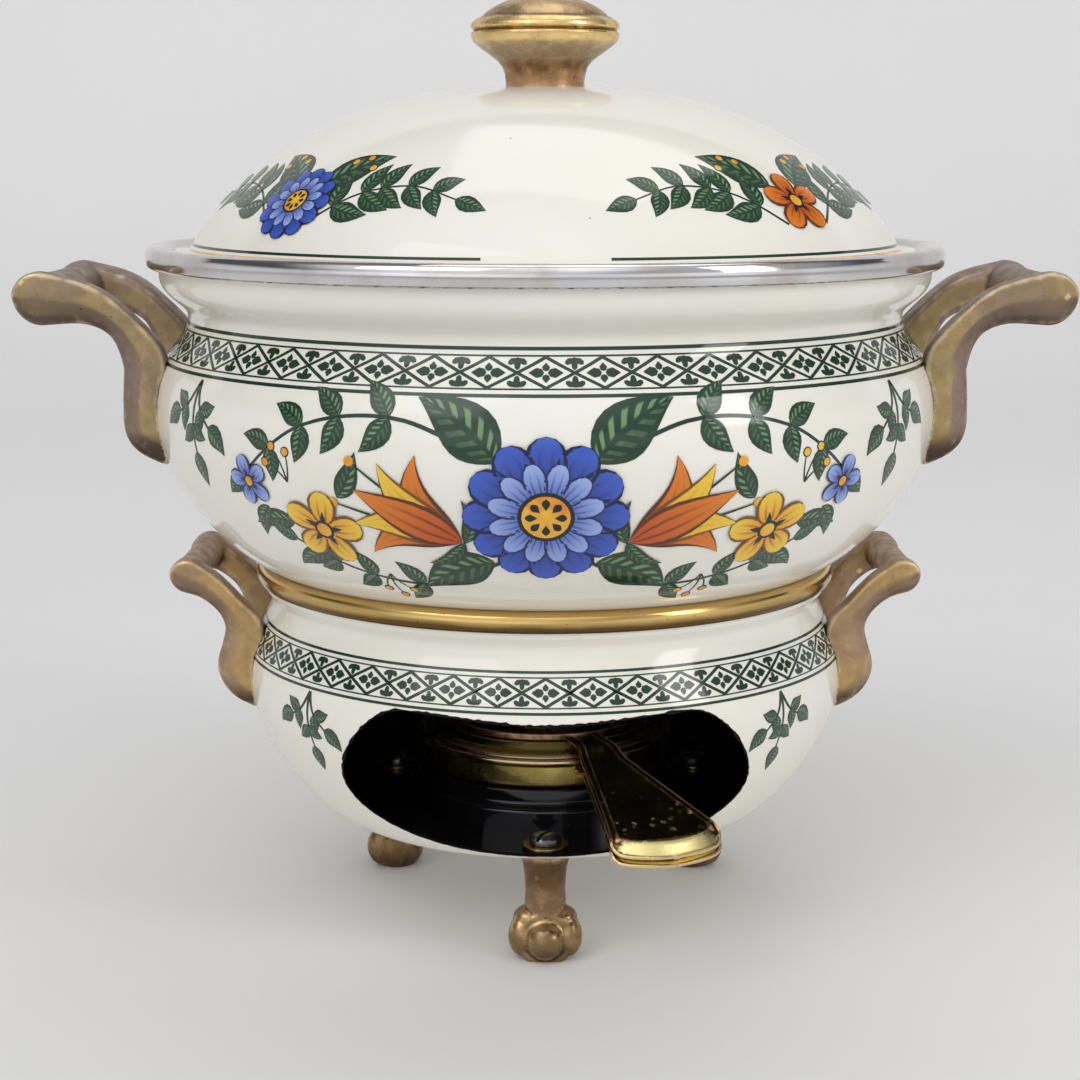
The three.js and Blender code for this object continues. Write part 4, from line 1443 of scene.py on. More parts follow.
class DISH_OT_stage(bpy.types.Operator):
    """Sets the camera, the soft lights, the pale floor and the backdrop"""

    bl_idname = "dish.stage"
    bl_label = "Stage"

    def execute(self, context):
        """Sets the stage."""
        scene = context.scene
        scene.view_settings.view_transform = "Standard"
        lens = bpy.data.cameras.new("camera")
        lens.lens = LENS
        lens.sensor_width = SENSOR
        lens.clip_start = 0.01
        lens.clip_end = 20
        camera = bpy.data.objects.new("camera", lens)
        camera.location = Vector(CAMERA_PLACE) * MM
        camera.rotation_euler = (math.radians(90 - CAMERA_DIP), 0, 0)
        scene.collection.objects.link(camera)
        scene.camera = camera
        for lamp in LAMPS:
            self.lamp(*lamp)
        self.world(scene)
        self.floor()
        return {"FINISHED"}

    def lamp(self, name, place, size, power):
        """A soft rectangular light that looks at the dish."""
        data = bpy.data.lights.new(name, "AREA")
        data.shape = "RECTANGLE"
        data.size, data.size_y = size
        data.energy = power
        lamp = bpy.data.objects.new(name, data)
        lamp.location = place
        lamp.rotation_euler = (LAMP_AIM - Vector(place)).to_track_quat("-Z", "Y").to_euler()
        bpy.context.scene.collection.objects.link(lamp)

    def world(self, scene):
        """A surround that is pale at the horizon, dim above it, and has two broad soft glows."""
        scene.world = bpy.data.worlds.new("surround")
        scene.world.use_nodes = True
        desk = NodeDesk(scene.world.node_tree)
        way = desk.add("ShaderNodeTexCoord").outputs["Generated"]
        _, _, up = desk.parts(way)
        light = desk.sums("ADD", desk.ease(up, 0.1, 0.24, 0.7, 0.1), desk.ease(up, 0.5, 0.9, 0.0, 0.15))
        for place, narrow, power in GLOWS:
            near = desk.add("ShaderNodeVectorMath", {0: way, 1: place}, operation="DOT_PRODUCT")
            light = desk.sums("ADD", light, desk.ease(near.outputs["Value"], 0.6, narrow, 0.0, power))
        glow = desk.add("ShaderNodeBackground", {"Color": tone(250, 251, 255), "Strength": light})
        desk.add("ShaderNodeOutputWorld", {"Surface": glow.outputs[0]})

    def floor(self):
        """A floor that sweeps up into a backdrop."""
        half = 6
        bm = bmesh.new()
        sweep = [(-7, 0.0), *bend((1.2, 0), (1.9, 0), (2.3, 0.4), (2.3, 1.1), 24), (2.3, 2.4)]
        line = [bm.verts.new((-half, y, z)) for y, z in sweep]
        edges = [bm.edges.new(pair) for pair in zip(line, line[1:])]
        drawn = bmesh.ops.extrude_edge_only(bm, edges=edges)["geom"]
        moved = [item for item in drawn if isinstance(item, bmesh.types.BMVert)]
        bmesh.ops.translate(bm, verts=moved, vec=(2 * half, 0, 0))
        bmesh.ops.recalc_face_normals(bm, faces=bm.faces[:])
        mesh = bpy.data.meshes.new("floor")
        bm.to_mesh(mesh)
        bm.free()
        mesh.shade_smooth()

        def draw(desk):
            paper = desk.noise(desk.place(), 3.0, 2.0)
            shade = desk.blend(paper, tone(234, 233, 231), tone(239, 238, 236))
            return {"Base Color": shade, "Roughness": 0.85}

        mesh.materials.append(shaded("stage_paper", draw))
        floor = bpy.data.objects.new("floor", mesh)
        bpy.context.scene.collection.objects.link(floor)


def bean():
    """Outline of the stand's opening, as (x, z)."""
    half, low, tall, dip = OPENING_WIDTH / 2, STAND_FLOOR + 2.3, 48.6, 2.2
    lobe, side, high = half * 0.68, low + tall * 0.53, low + tall
    right = [
        *bend((0, low), (half * 0.6, low), (half, low + tall * 0.22), (half, side), 18)[:-1],
        *bend((half, side), (half, low + tall * 0.72), (half * 0.85, high), (lobe, high), 14)[:-1],
        *bend((lobe, high), (lobe * 0.66, high), (lobe * 0.33, high - dip), (0, high - dip), 12),
    ]
    return right + [(-x, z) for x, z in right[-2:0:-1]]


class DISH_OT_stand(bpy.types.Operator):
    """Makes the stand's bowl with its opening, the opening's raw edge and the rim's ring"""

    bl_idname = "dish.stand"
    bl_label = "Stand"

    def execute(self, context):
        """Makes the stand's sheet pieces."""
        line = stand_line()
        wall = Wall(line)
        mouth = [(x, OPENING_FRONT, z) for x, z in bean()]
        cutter = prism(mouth, (0, OPENING_BACK - OPENING_FRONT, 0))
        bowl = worked(spun(lined(line, ENAMEL_SHEET)), cut_with(cutter))
        for face in bowl.faces:
            middle = face.calc_center_median() / MM
            radius = math.hypot(middle.x, middle.y)
            is_floor = middle.z < STAND_FLOOR + 0.4
            is_outer = is_floor or radius > wall.radius_at(min(middle.z, STAND_RIM - 0.1)) - 0.4
            is_cut = middle.y < OPENING_BACK and middle.z > STAND_FLOOR + 2 and abs(face.normal.y) < 0.02
            face.material_index = 2 if is_cut else 0 if is_outer else 1
        coats = cream_enamel(), black_enamel(), edge_black()
        dressed("stand_bowl", "enamel", bowl, "stand", "cream_enamel", *coats)
        self.raw_edge(wall)
        ring = spun(self.ring_outline(), True)
        finished("stand_rim_brass", ring, "stand", "polished_brass", [ring_brass()], "stand_rim_ring")
        return {"FINISHED"}

    def ring_outline(self):
        """Section of the brass ring, with its crown just under the pot."""
        rim = STAND_RIM
        pot = Wall(pot_line())
        outer, inner, base = 92.1, 86.6, rim + 0.3
        crown = []
        for i in range(13):
            angle = math.pi * i / 12
            radius = (outer + inner) / 2 + (outer - inner) / 2 * math.cos(angle)
            under = min(pot.points, key=lambda point: abs(point.x - radius)).y
            crown.append((radius, min(base + 2.3 * math.sin(angle), under - 0.12)))
        skirt = raised([(90.5, -3.7), (91.1, -3.6), (91.8, -2.8), (92.3, -1.4), (92.3, -0.4)], rim)
        return [*skirt, *crown, (inner, rim - 2.6), (88.7, rim - 2.6), (88.7, base), (90.5, base)]

    def raw_edge(self, wall):
        """Black enamel that runs over the opening's edge, a little chipped."""
        sheet = Sheet(wall, STAND_BELLY[1])
        outline = evenly_spaced(bean(), 1.3)
        path = []
        for x, z in outline:
            bearing = math.asin(x / wall.radius_at(z))
            path.append(Vector((bearing * sheet.radius, wall.length_at(z) - sheet.origin)))
        path.append(path[0].copy())
        stamp = Stamp().stroke(path, even_form, 1, EDGE, 0, 2)
        for vert in stamp.bm.verts:
            near = min(path, key=lambda point: (point - vert.co.xy).length_squared)
            chip = 0.3 + 0.55 * max(noise.noise(Vector((near.x * 0.6, near.y * 0.6, 3))), -0.35)
            vert.co.xy = near + (vert.co.xy - near) * chip
        mesh = stamp.mesh()
        sheet.bm.from_mesh(mesh)
        bpy.data.meshes.remove(mesh)
        sheet.laid("stand_opening_edge", "stand")


class DISH_OT_feet(bpy.types.Operator):
    """Casts the three claw-and-ball feet"""

    bl_idname = "dish.feet"
    bl_label = "Feet"

    def execute(self, context):
        """Casts the feet."""
        for name, bearing in FOOT_BEARINGS.items():
            angle = math.radians(bearing)
            place = Vector((math.cos(angle), math.sin(angle), 0)) * FOOT_CIRCLE * MM
            matrix = Matrix.Translation(place) @ Matrix.Rotation(angle + math.pi / 2, 4, "Z")
            foot = turn_to(self.foot(), matrix)
            dressed(f"foot_{name}", "cast", foot, "stand", "aged_brass", foot_bronze(), crease=60)
        return {"FINISHED"}

    def foot(self):
        """A foot at the origin, whose claws hold a ball towards -Y."""
        stem = spun([
            (0, 9), (4.4, 11.6), (6.2, 14.6), (6.25, 18), (6.1, 21), (6.2, 25), (6.6, 28.4), (7.2, 31),
            (7.7, 32.2), (7.7, 33.3), (7.4, 33.6), (0, 33.6),
        ], steps=64)
        tube = [math.tau * i / 24 for i in range(24)]
        arch = spun([(7.5 + 1.4 * math.cos(angle), 1.4 * math.sin(angle)) for angle in tube], True, 64)
        turn_to(arch, Matrix.Translation(Vector((0, -4.6, 7)) * MM) @ Matrix.Rotation(math.pi / 2, 4, "X"))
        lobes = [self.lobe((0, 0.3, 7), (9.8, 8.5, 9.4)), self.lobe((0, -5.2, 6.6), (6, 5.6, 6))]
        for x, y, z, radii in ((7.1, -2.2, 7.3, (4.2, 4.8, 6.4)), (5, -0.6, 12.6, (4.8, 5, 3.8))):
            lobes += [self.lobe((side * x, y, z), radii) for side in (1, -1)]
        cast = worked(joined(stem, arch, *lobes), *cast_with(sizes().foot_grain, 6))
        floor = bmesh.ops.bisect_plane(
            cast, geom=cast.verts[:] + cast.edges[:] + cast.faces[:], dist=1e-7,
            plane_co=(0, 0, 0), plane_no=(0, 0, -1), clear_outer=True,
        )["geom_cut"]
        edges = [item for item in floor if isinstance(item, bmesh.types.BMEdge)]
        bmesh.ops.edgeloop_fill(cast, edges=edges)
        return cast

    def lobe(self, middle, radii):
        """A round swelling of a foot."""
        bm = bmesh.new()
        bmesh.ops.create_icosphere(bm, subdivisions=4, radius=MM)
        return turn_to(bm, Matrix.Translation(Vector(middle) * MM) @ Matrix.Diagonal((*radii, 1)))


# Section of a loop handle's arm: across from its inner edge (-1) to its outer, and deep towards its cheek (1)
ARM_SECTION = (
    (-0.91, 1), (-0.5, 1), (-0.22, 1), (-0.06, 0.98), (0.25, 0.85), (0.6, 0.68), (0.87, 0.44), (0.98, 0.12),
    (1, -0.2), (0.94, -0.6), (0.78, -0.88), (0.45, -1), (-0.45, -1), (-0.78, -0.88), (-0.95, -0.55), (-1, 0),
    (-1, 0.86),
)


class DISH_OT_handles(bpy.types.Operator):
    """Casts the loop handles of the stand and the pot, coped to their walls"""

    bl_idname = "dish.handles"
    bl_label = "Loop handles"

    # Middle lines of the arms, out and up from the belly, with half the arm's width
    stand_spine = [
        (-7, -6.2, 4.4), (-0.7, -2.4, 5), (1.7, 3.2, 5.9), (0.4, 9.5, 5.7), (-1.2, 15.6, 6.3),
        (2.9, 22.8, 4.4), (9.5, 29.2, 4.7), (16.1, 32.5, 5.7),
    ]
    pot_spine = [
        (-9.5, -10.6, 5.8), (-1.2, -5.6, 6.3), (0.2, 3, 5.8), (-0.3, 10, 6), (-0.9, 17, 6.9),
        (5.6, 27.2, 4.9), (15.6, 33.4, 6.2), (29.6, 35.2, 8.3),
    ]

    def execute(self, context):
        """Casts the handles."""
        self.pair("stand", stand_line(), STAND_BELLY, self.stand_spine, stand_bronze())
        self.pair("pot", pot_line(), POT_BELLY, self.pot_spine, pot_bronze())
        return {"FINISHED"}

    def pair(self, body, line, belly, spine, finish):
        """Both handles of a vessel."""
        placed = [(belly[0] + x, belly[1] + z, half) for x, z, half in spine]
        for side_name, side in SIDES.items():
            cast = self.loop(line, placed, *LOOPS[body])
            if side < 0:
                turn_to(cast, Matrix.Rotation(math.pi, 4, "Z"))
            dressed(f"{body}_handle_{side_name}", "cast", cast, body, "aged_brass", finish, crease=60)

    def arm(self, spine, middle, half_depth):
        """An arm along a spine of (x, z, half width), bevelled on the outer side of its cheek."""
        stations = [(point.xy, point.z, 1) for point in flowing(spine, 6)]
        tip, radius, _ = stations[-1]
        way = (tip - stations[-2][0]).normalized()
        for i in range(1, 9):
            angle = math.pi / 2 * i / 8
            spot = tip + way * radius * math.sin(angle)
            thick = 1 - 0.16 * (1 - math.cos(angle))
            stations.append((spot, radius * max(math.cos(angle), 0.04), thick))
        last, ring = len(stations) - 1, len(ARM_SECTION)
        bm = bmesh.new()
        made = bmesh.ops.create_grid(bm, x_segments=last, y_segments=ring, size=0.5)["verts"]
        for vert in made:
            i = round((vert.co.x + 0.5) * last)
            across, deep = ARM_SECTION[round((vert.co.y + 0.5) * ring) % ring]
            spot, half, thick = stations[i]
            ahead = (stations[min(i + 1, last)][0] - stations[max(i - 1, 0)][0]).normalized()
            x = spot.x + ahead.y * across * half
            z = spot.y - ahead.x * across * half
            vert.co = Vector((x, middle + deep * thick * half_depth, z)) * MM
        bmesh.ops.remove_doubles(bm, verts=made, dist=1e-7)
        bmesh.ops.holes_fill(bm, edges=bm.edges[:], sides=0)
        bmesh.ops.recalc_face_normals(bm, faces=bm.faces[:])
        return bm

    def loop(self, line, spine, spread, arm):
        """Two arms and a waisted grip in one casting on the +X side."""
        reach = (spread - arm) / 2
        parts = [self.arm(spine, end * reach, end * arm / 2) for end in ENDS.values()]
        tip_x, tip_z, tip_half = spine[-1]
        waist = [
            (0, -reach), (tip_half * 0.93, -reach), (tip_half * 0.93, arm / 2 - reach),
            (tip_half * 0.86, arm * 1.2 - reach), (tip_half * 0.84, 0),
        ]
        bar = spun(waist + [(radius, -z) for radius, z in waist[-2::-1]], steps=48)
        lay = Matrix.Translation(Vector((tip_x, 0, tip_z)) * MM) @ Matrix.Rotation(math.pi / 2, 4, "X")
        parts.append(turn_to(bar, lay))
        top = line[-1][1]
        vessel = inset_line(line, -0.06)
        coping = spun([(0, vessel[0][1]), *vessel[1:], (0, top)], steps=144)
        return worked(joined(*parts), *cast_with(sizes().handle_grain, 9), cut_with(coping))


SCREW_HEAD = 3.2
LONG_GRIP = 9
SHORT_GRIP = 7
WASHER_RADIUS = 7.0
WASHER_HOLE = 2.3


def screw_seat(node, way):
    """Where the underside of a screw's head lies, for a screw that points along way."""
    reach = min((vert.co.dot(way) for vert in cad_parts[node].data.vertices))
    low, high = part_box(node)
    middle = (low + high) / 2
    return middle + way * (reach + SCREW_HEAD * MM - middle.dot(way))


class DISH_OT_screws(bpy.types.Operator):
    """Makes the slotted screws and their washers"""

    bl_idname = "dish.screws"
    bl_label = "Screws and washers"

    def execute(self, context):
        """Makes the screws and washers."""
        down, up = Vector((0, 0, -1)), Vector((0, 0, 1))
        for name, bearing in FOOT_BEARINGS.items():
            slot = Matrix.Rotation(math.radians(bearing + 150), 4, "Z")
            self.screw(f"foot_screw_{name}", "stand", down, LONG_GRIP, slot)
            self.washer(f"foot_washer_{name}", "stand", washer_brass(), "polished_brass")
        self.screw("lid_knob_screw", "lid", up, LONG_GRIP, Matrix.Rotation(0.5, 4, "Z"))
        self.washer("lid_knob_washer", "lid", screw_steel(), "screw_steel")
        for body, belly in (("stand", STAND_BELLY), ("pot", POT_BELLY)):
            spread, arm = LOOPS[body]
            bearing = math.asin((spread - arm) / 2 / belly[0])
            for side_name, side in SIDES.items():
                for end_name, end in ENDS.items():
                    way = Vector((side * math.cos(bearing), end * math.sin(bearing), 0))
                    slot = Matrix.Rotation(0.7 * side + 0.4 * end, 4, "Z")
                    self.screw(f"{body}_handle_screw_{side_name}_{end_name}", body, way, SHORT_GRIP, slot)
        return {"FINISHED"}

    def screw(self, node, body, way, grip, slot):
        """A slotted cheese-head screw in place of its solid."""
        shank = [(0, -grip), (1.6, -grip), (2, -grip + 0.5), (2, 0)]
        crown = [(3.6, 2.8), (2, SCREW_HEAD - 0.05), (0, SCREW_HEAD)]
        head = [(4.6, 0), (4.8, 0.3), (4.8, 1.5), (4.5, 2.2), *crown]
        blank = spun(softened(shank + head, 0.3), steps=48)
        blade = bmesh.new()
        bmesh.ops.create_cube(blade, size=MM)
        bmesh.ops.scale(blade, vec=(12, 1.3, SCREW_HEAD), verts=blade.verts[:])
        bmesh.ops.translate(blade, vec=(0, 0, SCREW_HEAD * MM), verts=blade.verts[:])
        cut = worked(blank, cut_with(blade))
        turn = Vector((0, 0, -1)).rotation_difference(way).to_matrix().to_4x4()
        turn_to(cut, Matrix.Translation(screw_seat(node, way)) @ turn @ slot)
        dressed(node, "slotted", cut, body, "screw_steel", screw_steel())

    def washer(self, node, body, finish, slot):
        """A flat washer with soft edges in place of its solid."""
        low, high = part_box(node)
        middle = (low + high) / 2
        tall = (high.z - low.z) / 2 / MM
        under = [(WASHER_HOLE, -tall), (WASHER_RADIUS, -tall)]
        ring = softened(under + [(WASHER_RADIUS, tall), (WASHER_HOLE, tall)], 0.3, True)
        plate = turn_to(spun(ring, True, 64), Matrix.Translation(middle))
        dressed(node, "plate", plate, body, slot, finish)


# Vents of the burner's cover and regulator: their number, inner and outer radius, and half angle in degrees
VENTS = 6
VENT_INNER = 19
VENT_OUTER = 27
VENT_HALF = 12


def vent_cutter(low, high):
    """The vents round the burner's axis, as one cutter."""
    angles = range(-VENT_HALF, VENT_HALF + 1, 3)
    corners = [(VENT_OUTER, angle) for angle in angles] + [(VENT_INNER, angle) for angle in reversed(angles)]
    vents = []
    for i in range(VENTS):
        outline = []
        for radius, angle in corners:
            turn = HANDLE_BEARING + math.radians(360 / VENTS * i + angle)
            outline.append((radius * math.cos(turn), radius * math.sin(turn), low))
        vents.append(prism(outline, (0, 0, high - low)))
    return joined(*vents)


class DISH_OT_burner(bpy.types.Operator):
    """Spins the burner's seat, pan and cover, and packs its wad and gauze"""

    bl_idname = "dish.burner"
    bl_label = "Burner"

    def execute(self, context):
        """Makes the burner's body."""
        self.seat()
        self.pan()
        self.cover()
        self.wad()
        self.gauze()
        return {"FINISHED"}

    def sheet(self, line, thickness, corner, closed=False):
        """A spun sheet piece over the stand's floor; one clear of the axis has a closed section."""
        return spun(raised(lined(softened(line, corner), thickness), BURNER_FLOOR), closed)

    def seat(self):
        """The pressed seat under the pan."""
        line = [
            (43.6, 0), (43.6, 5.6), (43.1, 6.4), (41.4, 7.2), (41, 8), (41, 12.1), (36, 12.1), (35, 11.7),
            (0, 11.7),
        ]
        bm = spun(raised(softened(lined(line, ENAMEL_SHEET), 0.7), BURNER_FLOOR), True)
        dressed("burner_seat", "pressed", bm, "stand", "black_enamel", black_enamel())

    def pan(self):
        """The pan with its rolled lip."""
        line = [
            (0, 12.4), (40, 12.4), (40, 19.6), (41.4, 20.1), (41.6, 21), (41.3, 21.7), (40.5, 22),
            (39.9, 21.7),
        ]
        bm = self.sheet(line, 0.8, 1.4)
        dressed("burner_pan", "spun", bm, "burner", "burner_brass", burner_brass())

    def cover(self):
        """The stepped cover with its vents and collar."""
        line = [
            (38.8, 18.5), (38.8, 22), (37.9, 22.9), (34.2, 22.9), (33.3, 25.3), (29.6, 25.3), (29.2, 25.05),
            (16.2, 25.05), (15.4, 25.3), (14.75, 25.3), (14.6, 25.5), (14.6, 27.1), (16.4, 27.7),
        ]
        bm = self.sheet(line, BRASS_SHEET, 0.5, True)
        bm = worked(bm, cut_with(vent_cutter(BURNER_FLOOR + 23.3, BURNER_FLOOR + 26.2)))
        dressed("burner_cover", "spun", bm, "burner", "burner_brass", burner_brass())

    def wad(self):
        """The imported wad, lumpy on top."""
        line = [(0, 13.4), (37.6, 13.4), (38.6, 14.4), (38.6, 16.8), (37.4, 17.8)]
        top = [(37.4 - 37.4 * i / 40, 17.8) for i in range(1, 41)]
        bm = spun(raised(line + top, BURNER_FLOOR), steps=120)
        for vert in bm.verts:
            if vert.co.z > (BURNER_FLOOR + 16) * MM:
                vert.co.z -= 0.35 * MM * (1 + noise.fractal(vert.co * 260, 1.0, 2.0, 4))
        dressed("burner_wad", "packed", bm, "burner", "fibre", wad_fibre(), crease=80)

    def gauze(self):
        """Woven wires, clipped to the pan."""
        radius, pitch, wire, wave = 38.2, 1.9, 0.14, 0.145
        level = BURNER_FLOOR + 18.2
        count = int(radius / pitch)
        wires = bmesh.new()
        for row in range(-count, count + 1):
            half = math.sqrt(radius ** 2 - (row * pitch) ** 2)
            steps = max(int(half * 2 / pitch * 2), 4)
            for weave in (0, 1):
                made = bmesh.ops.create_grid(wires, x_segments=steps, y_segments=5, size=0.5)["verts"]
                for vert in made:
                    run = vert.co.x * 2 * half
                    angle = (vert.co.y + 0.5) * math.tau
                    phase = math.pi * (row + weave)
                    rise = wave * math.cos(math.pi * run / pitch + phase)
                    off = row * pitch + wire * math.cos(angle)
                    x, y = (run, off) if weave else (off, run)
                    vert.co = Vector((x, y, level + rise + wire * math.sin(angle))) * MM
        bmesh.ops.remove_doubles(wires, verts=wires.verts[:], dist=1e-7)
        bmesh.ops.holes_fill(wires, edges=wires.edges[:], sides=8)
        bmesh.ops.recalc_face_normals(wires, faces=wires.faces[:])
        dressed("burner_gauze", "woven", wires, "burner", "wire_gauze", gauze_wire(), crease=70)


def eased(share):
    """A share held between 0 and 1 and eased at both ends."""
    share = min(max(share, 0), 1)
    return share * share * (3 - 2 * share)


def rolled_down(edge, depth):
    """Drop of a rolled end at a distance from its edge: an eased bend, a straight fall and a flat rim."""
    rim, run, knee = 1, 3.4, 0.35
    share = min(max((rim + run - edge) / run, 0), 1)
    fall = share * share / (2 * knee) if share < knee else share - knee / 2
    return depth * fall / (1 - knee / 2)


def stamped_handle(root_radius, root_height, lift, depth):
    """A burner handle along +X: a tapered strip with beaded edges that droops to a broad rolled end."""
    # Distances from the axis, widths and the slope of the strip
    bend_at, knee, broad, reach = 43.2, 53, 96.4, 104
    neck, flare, flare_at, flare_power, end_half = 11.4, 23.2, 40, 1.12, 17.3
    tip_height, droop = 9, 0.2

    rows = []
    straight, arc = 60, 32
    for i in range(straight):
        radius = root_radius + (broad - root_radius) * i / straight
        share = max((radius - flare_at) / (broad - flare_at), 0)
        rows.append((radius, (neck + flare * share ** flare_power) / 2))
    for i in range(arc + 1):
        angle = math.pi / 2 * 0.975 * i / arc
        rows.append((broad + (reach - broad) * math.sin(angle), end_half * math.cos(angle)))

    def height_at(radius):
        slope = tip_height + (reach - max(radius, knee)) * droop + lift
        return root_height + (slope - root_height) * eased((radius - bend_at) / (knee - bend_at))

    outline = [Vector((*place, 0)) for place in rows] + [Vector((reach, 0, 0))]
    outline = [before.lerp(after, i / 6) for before, after in zip(outline, outline[1:]) for i in range(6)]
    near = kdtree.KDTree(len(outline))
    for i, point in enumerate(outline):
        near.insert(point, i)
    near.balance()
    steps, across = len(rows) - 1, 44
    bm = bmesh.new()
    made = bmesh.ops.create_grid(bm, x_segments=steps, y_segments=across, size=0.5)["verts"]
    for vert in made:
        radius, half = rows[round((vert.co.x + 0.5) * steps)]
        side = math.copysign(1 - (1 - abs(vert.co.y * 2)) ** 1.8, vert.co.y)
        off = side * half
        closest, _, edge = near.find((radius, abs(off), 0))
        at_end = eased((closest.x - broad + 3) / 7)
        bead = (0.7 - 0.25 * at_end) * math.exp(-((edge - 0.6 + 0.15 * at_end) / 0.4) ** 2)
        inner_bead = 0.4 * (1 - at_end) * math.exp(-((edge - 2.4) / 0.5) ** 2)
        dish = -0.35 * max(1 - abs(side) * 1.15, 0) * min(max((radius - 60) / 20, 0), 1)
        roll = at_end * rolled_down(edge, depth)
        rise = height_at(radius) + BRASS_SHEET + bead + inner_bead + dish - roll
        vert.co = Vector((radius, off, rise + BURNER_FLOOR)) * MM
    drawn_out(bm, (0, 0, -HANDLE_SHEET * MM))
    return turn_to(bm, Matrix.Rotation(HANDLE_BEARING - math.pi / 2, 4, "Z"))


class DISH_OT_burner_handles(bpy.types.Operator):
    """Stamps the burner's two handles, the upper one in one piece with the regulator"""

    bl_idname = "dish.burner_handles"
    bl_label = "Burner handles"

    def execute(self, context):
        """Makes both handles."""
        lower = stamped_handle(40.3, 16.8, 0, 2.7)
        dressed("burner_pan_handle", "stamped", lower, "burner", "burner_brass", handle_brass(), crease=50)
        base = 25.6
        section = [
            (14.9, base), (32.4, base), (32.4, base + 2.1), (31.2, base + 2.1), (30.4, base + 0.9),
            (14.9, base + 0.9),
        ]
        plate = spun(raised(softened(section, 0.5, True), BURNER_FLOOR), True)
        low = BURNER_FLOOR + base
        plate = worked(plate, cut_with(vent_cutter(low - 1, low + 2)))
        whole = joined(plate, stamped_handle(30.6, base, 3, 3.2))
        dressed("burner_regulator", "stamped", whole, "regulator", "burner_brass", handle_brass(), crease=50)
        return {"FINISHED"}


class DISH_OT_pot(bpy.types.Operator):
    """Makes the pot's bowl and the steel ring on its rim"""

    bl_idname = "dish.pot"
    bl_label = "Pot"

    def execute(self, context):
        """Makes the bowl and its ring."""
        bowl = spun(lined(pot_line(), ENAMEL_SHEET))
        dressed("pot_bowl", "enamel", bowl, "pot", "cream_enamel", cream_enamel())
        rim = POT_RIM
        ledge = rim + 0.3
        section = [
            (120.5, rim - 3.6), (122.6, rim - 3.6), (123.7, rim - 2.8), (124, rim - 1.4),
            (124, ledge + 0.8), (123.5, ledge + 2), (122.4, ledge + 2.65), (121, ledge + 2.8),
            (119.4, ledge + 2.4), (118.2, ledge + 1.5), (116.9, ledge + 0.25), (116.2, ledge),
            (111.7, ledge), (111.7, ledge - 1), (117.7, ledge - 1), (117.7, rim - 2.9),
            (118.7, rim - 2.9), (118.7, ledge), (120.5, ledge),
        ]
        ring = spun(softened(section, 0.4, True), True)
        finished("pot_rim_steel", ring, "pot", "polished_steel", [polished_steel()], "pot_rim_ring")
        return {"FINISHED"}


class DISH_OT_lid(bpy.types.Operator):
    """Makes the lid's shell and turns its knob"""

    bl_idname = "dish.lid"
    bl_label = "Lid and knob"

    def execute(self, context):
        """Makes the shell and the knob."""
        outer = lid_line()
        dome = [point for point in outer if point[0] <= 110]
        inner = inset_line(dome, ENAMEL_SHEET)[::-1]
        edge = raised([
            (108.9, 1.2), (108.9, -LID_SKIRT), (110.1, -LID_SKIRT), (110.1, 0), (115.1, 0), (115.1, 1.2),
        ], LID_SEAT)
        section = softened([(0, LID_SEAT + 49), *inner[1:], *edge, *outer[1:]], 0.5)
        dressed("lid_shell", "enamel", spun(section), "lid", "cream_enamel", cream_enamel())
        profile = [
            (0, 0), (12.4, 0), (12.2, 1.5), (12.5, 4), (13.2, 6.2), (14.6, 7.9), (16.8, 9.6), (20.4, 12.2),
            (21.9, 13.4), (22.4, 14), (23, 15.2), (23.1, 16.2), (22.8, 16.7), (22.2, 17), (22.1, 17.3),
            (22.6, 17.6), (23.2, 18.2), (23, 19.2), (22.1, 20.2), (20.9, 20.9), (20.1, 21.25), (19.7, 21.35),
            (19.4, 21.6),
        ]
        cap = bend((19.4, 21.6), (17.6, 24), (9.6, KNOB_HEIGHT), (0, KNOB_HEIGHT), 16)
        knob = spun(raised([*softened(profile, 0.25), *cap[1:]], KNOB_BASE), steps=144)
        dressed("lid_knob", "turned", knob, "lid", "aged_brass", knob_bronze(), crease=40)
        return {"FINISHED"}


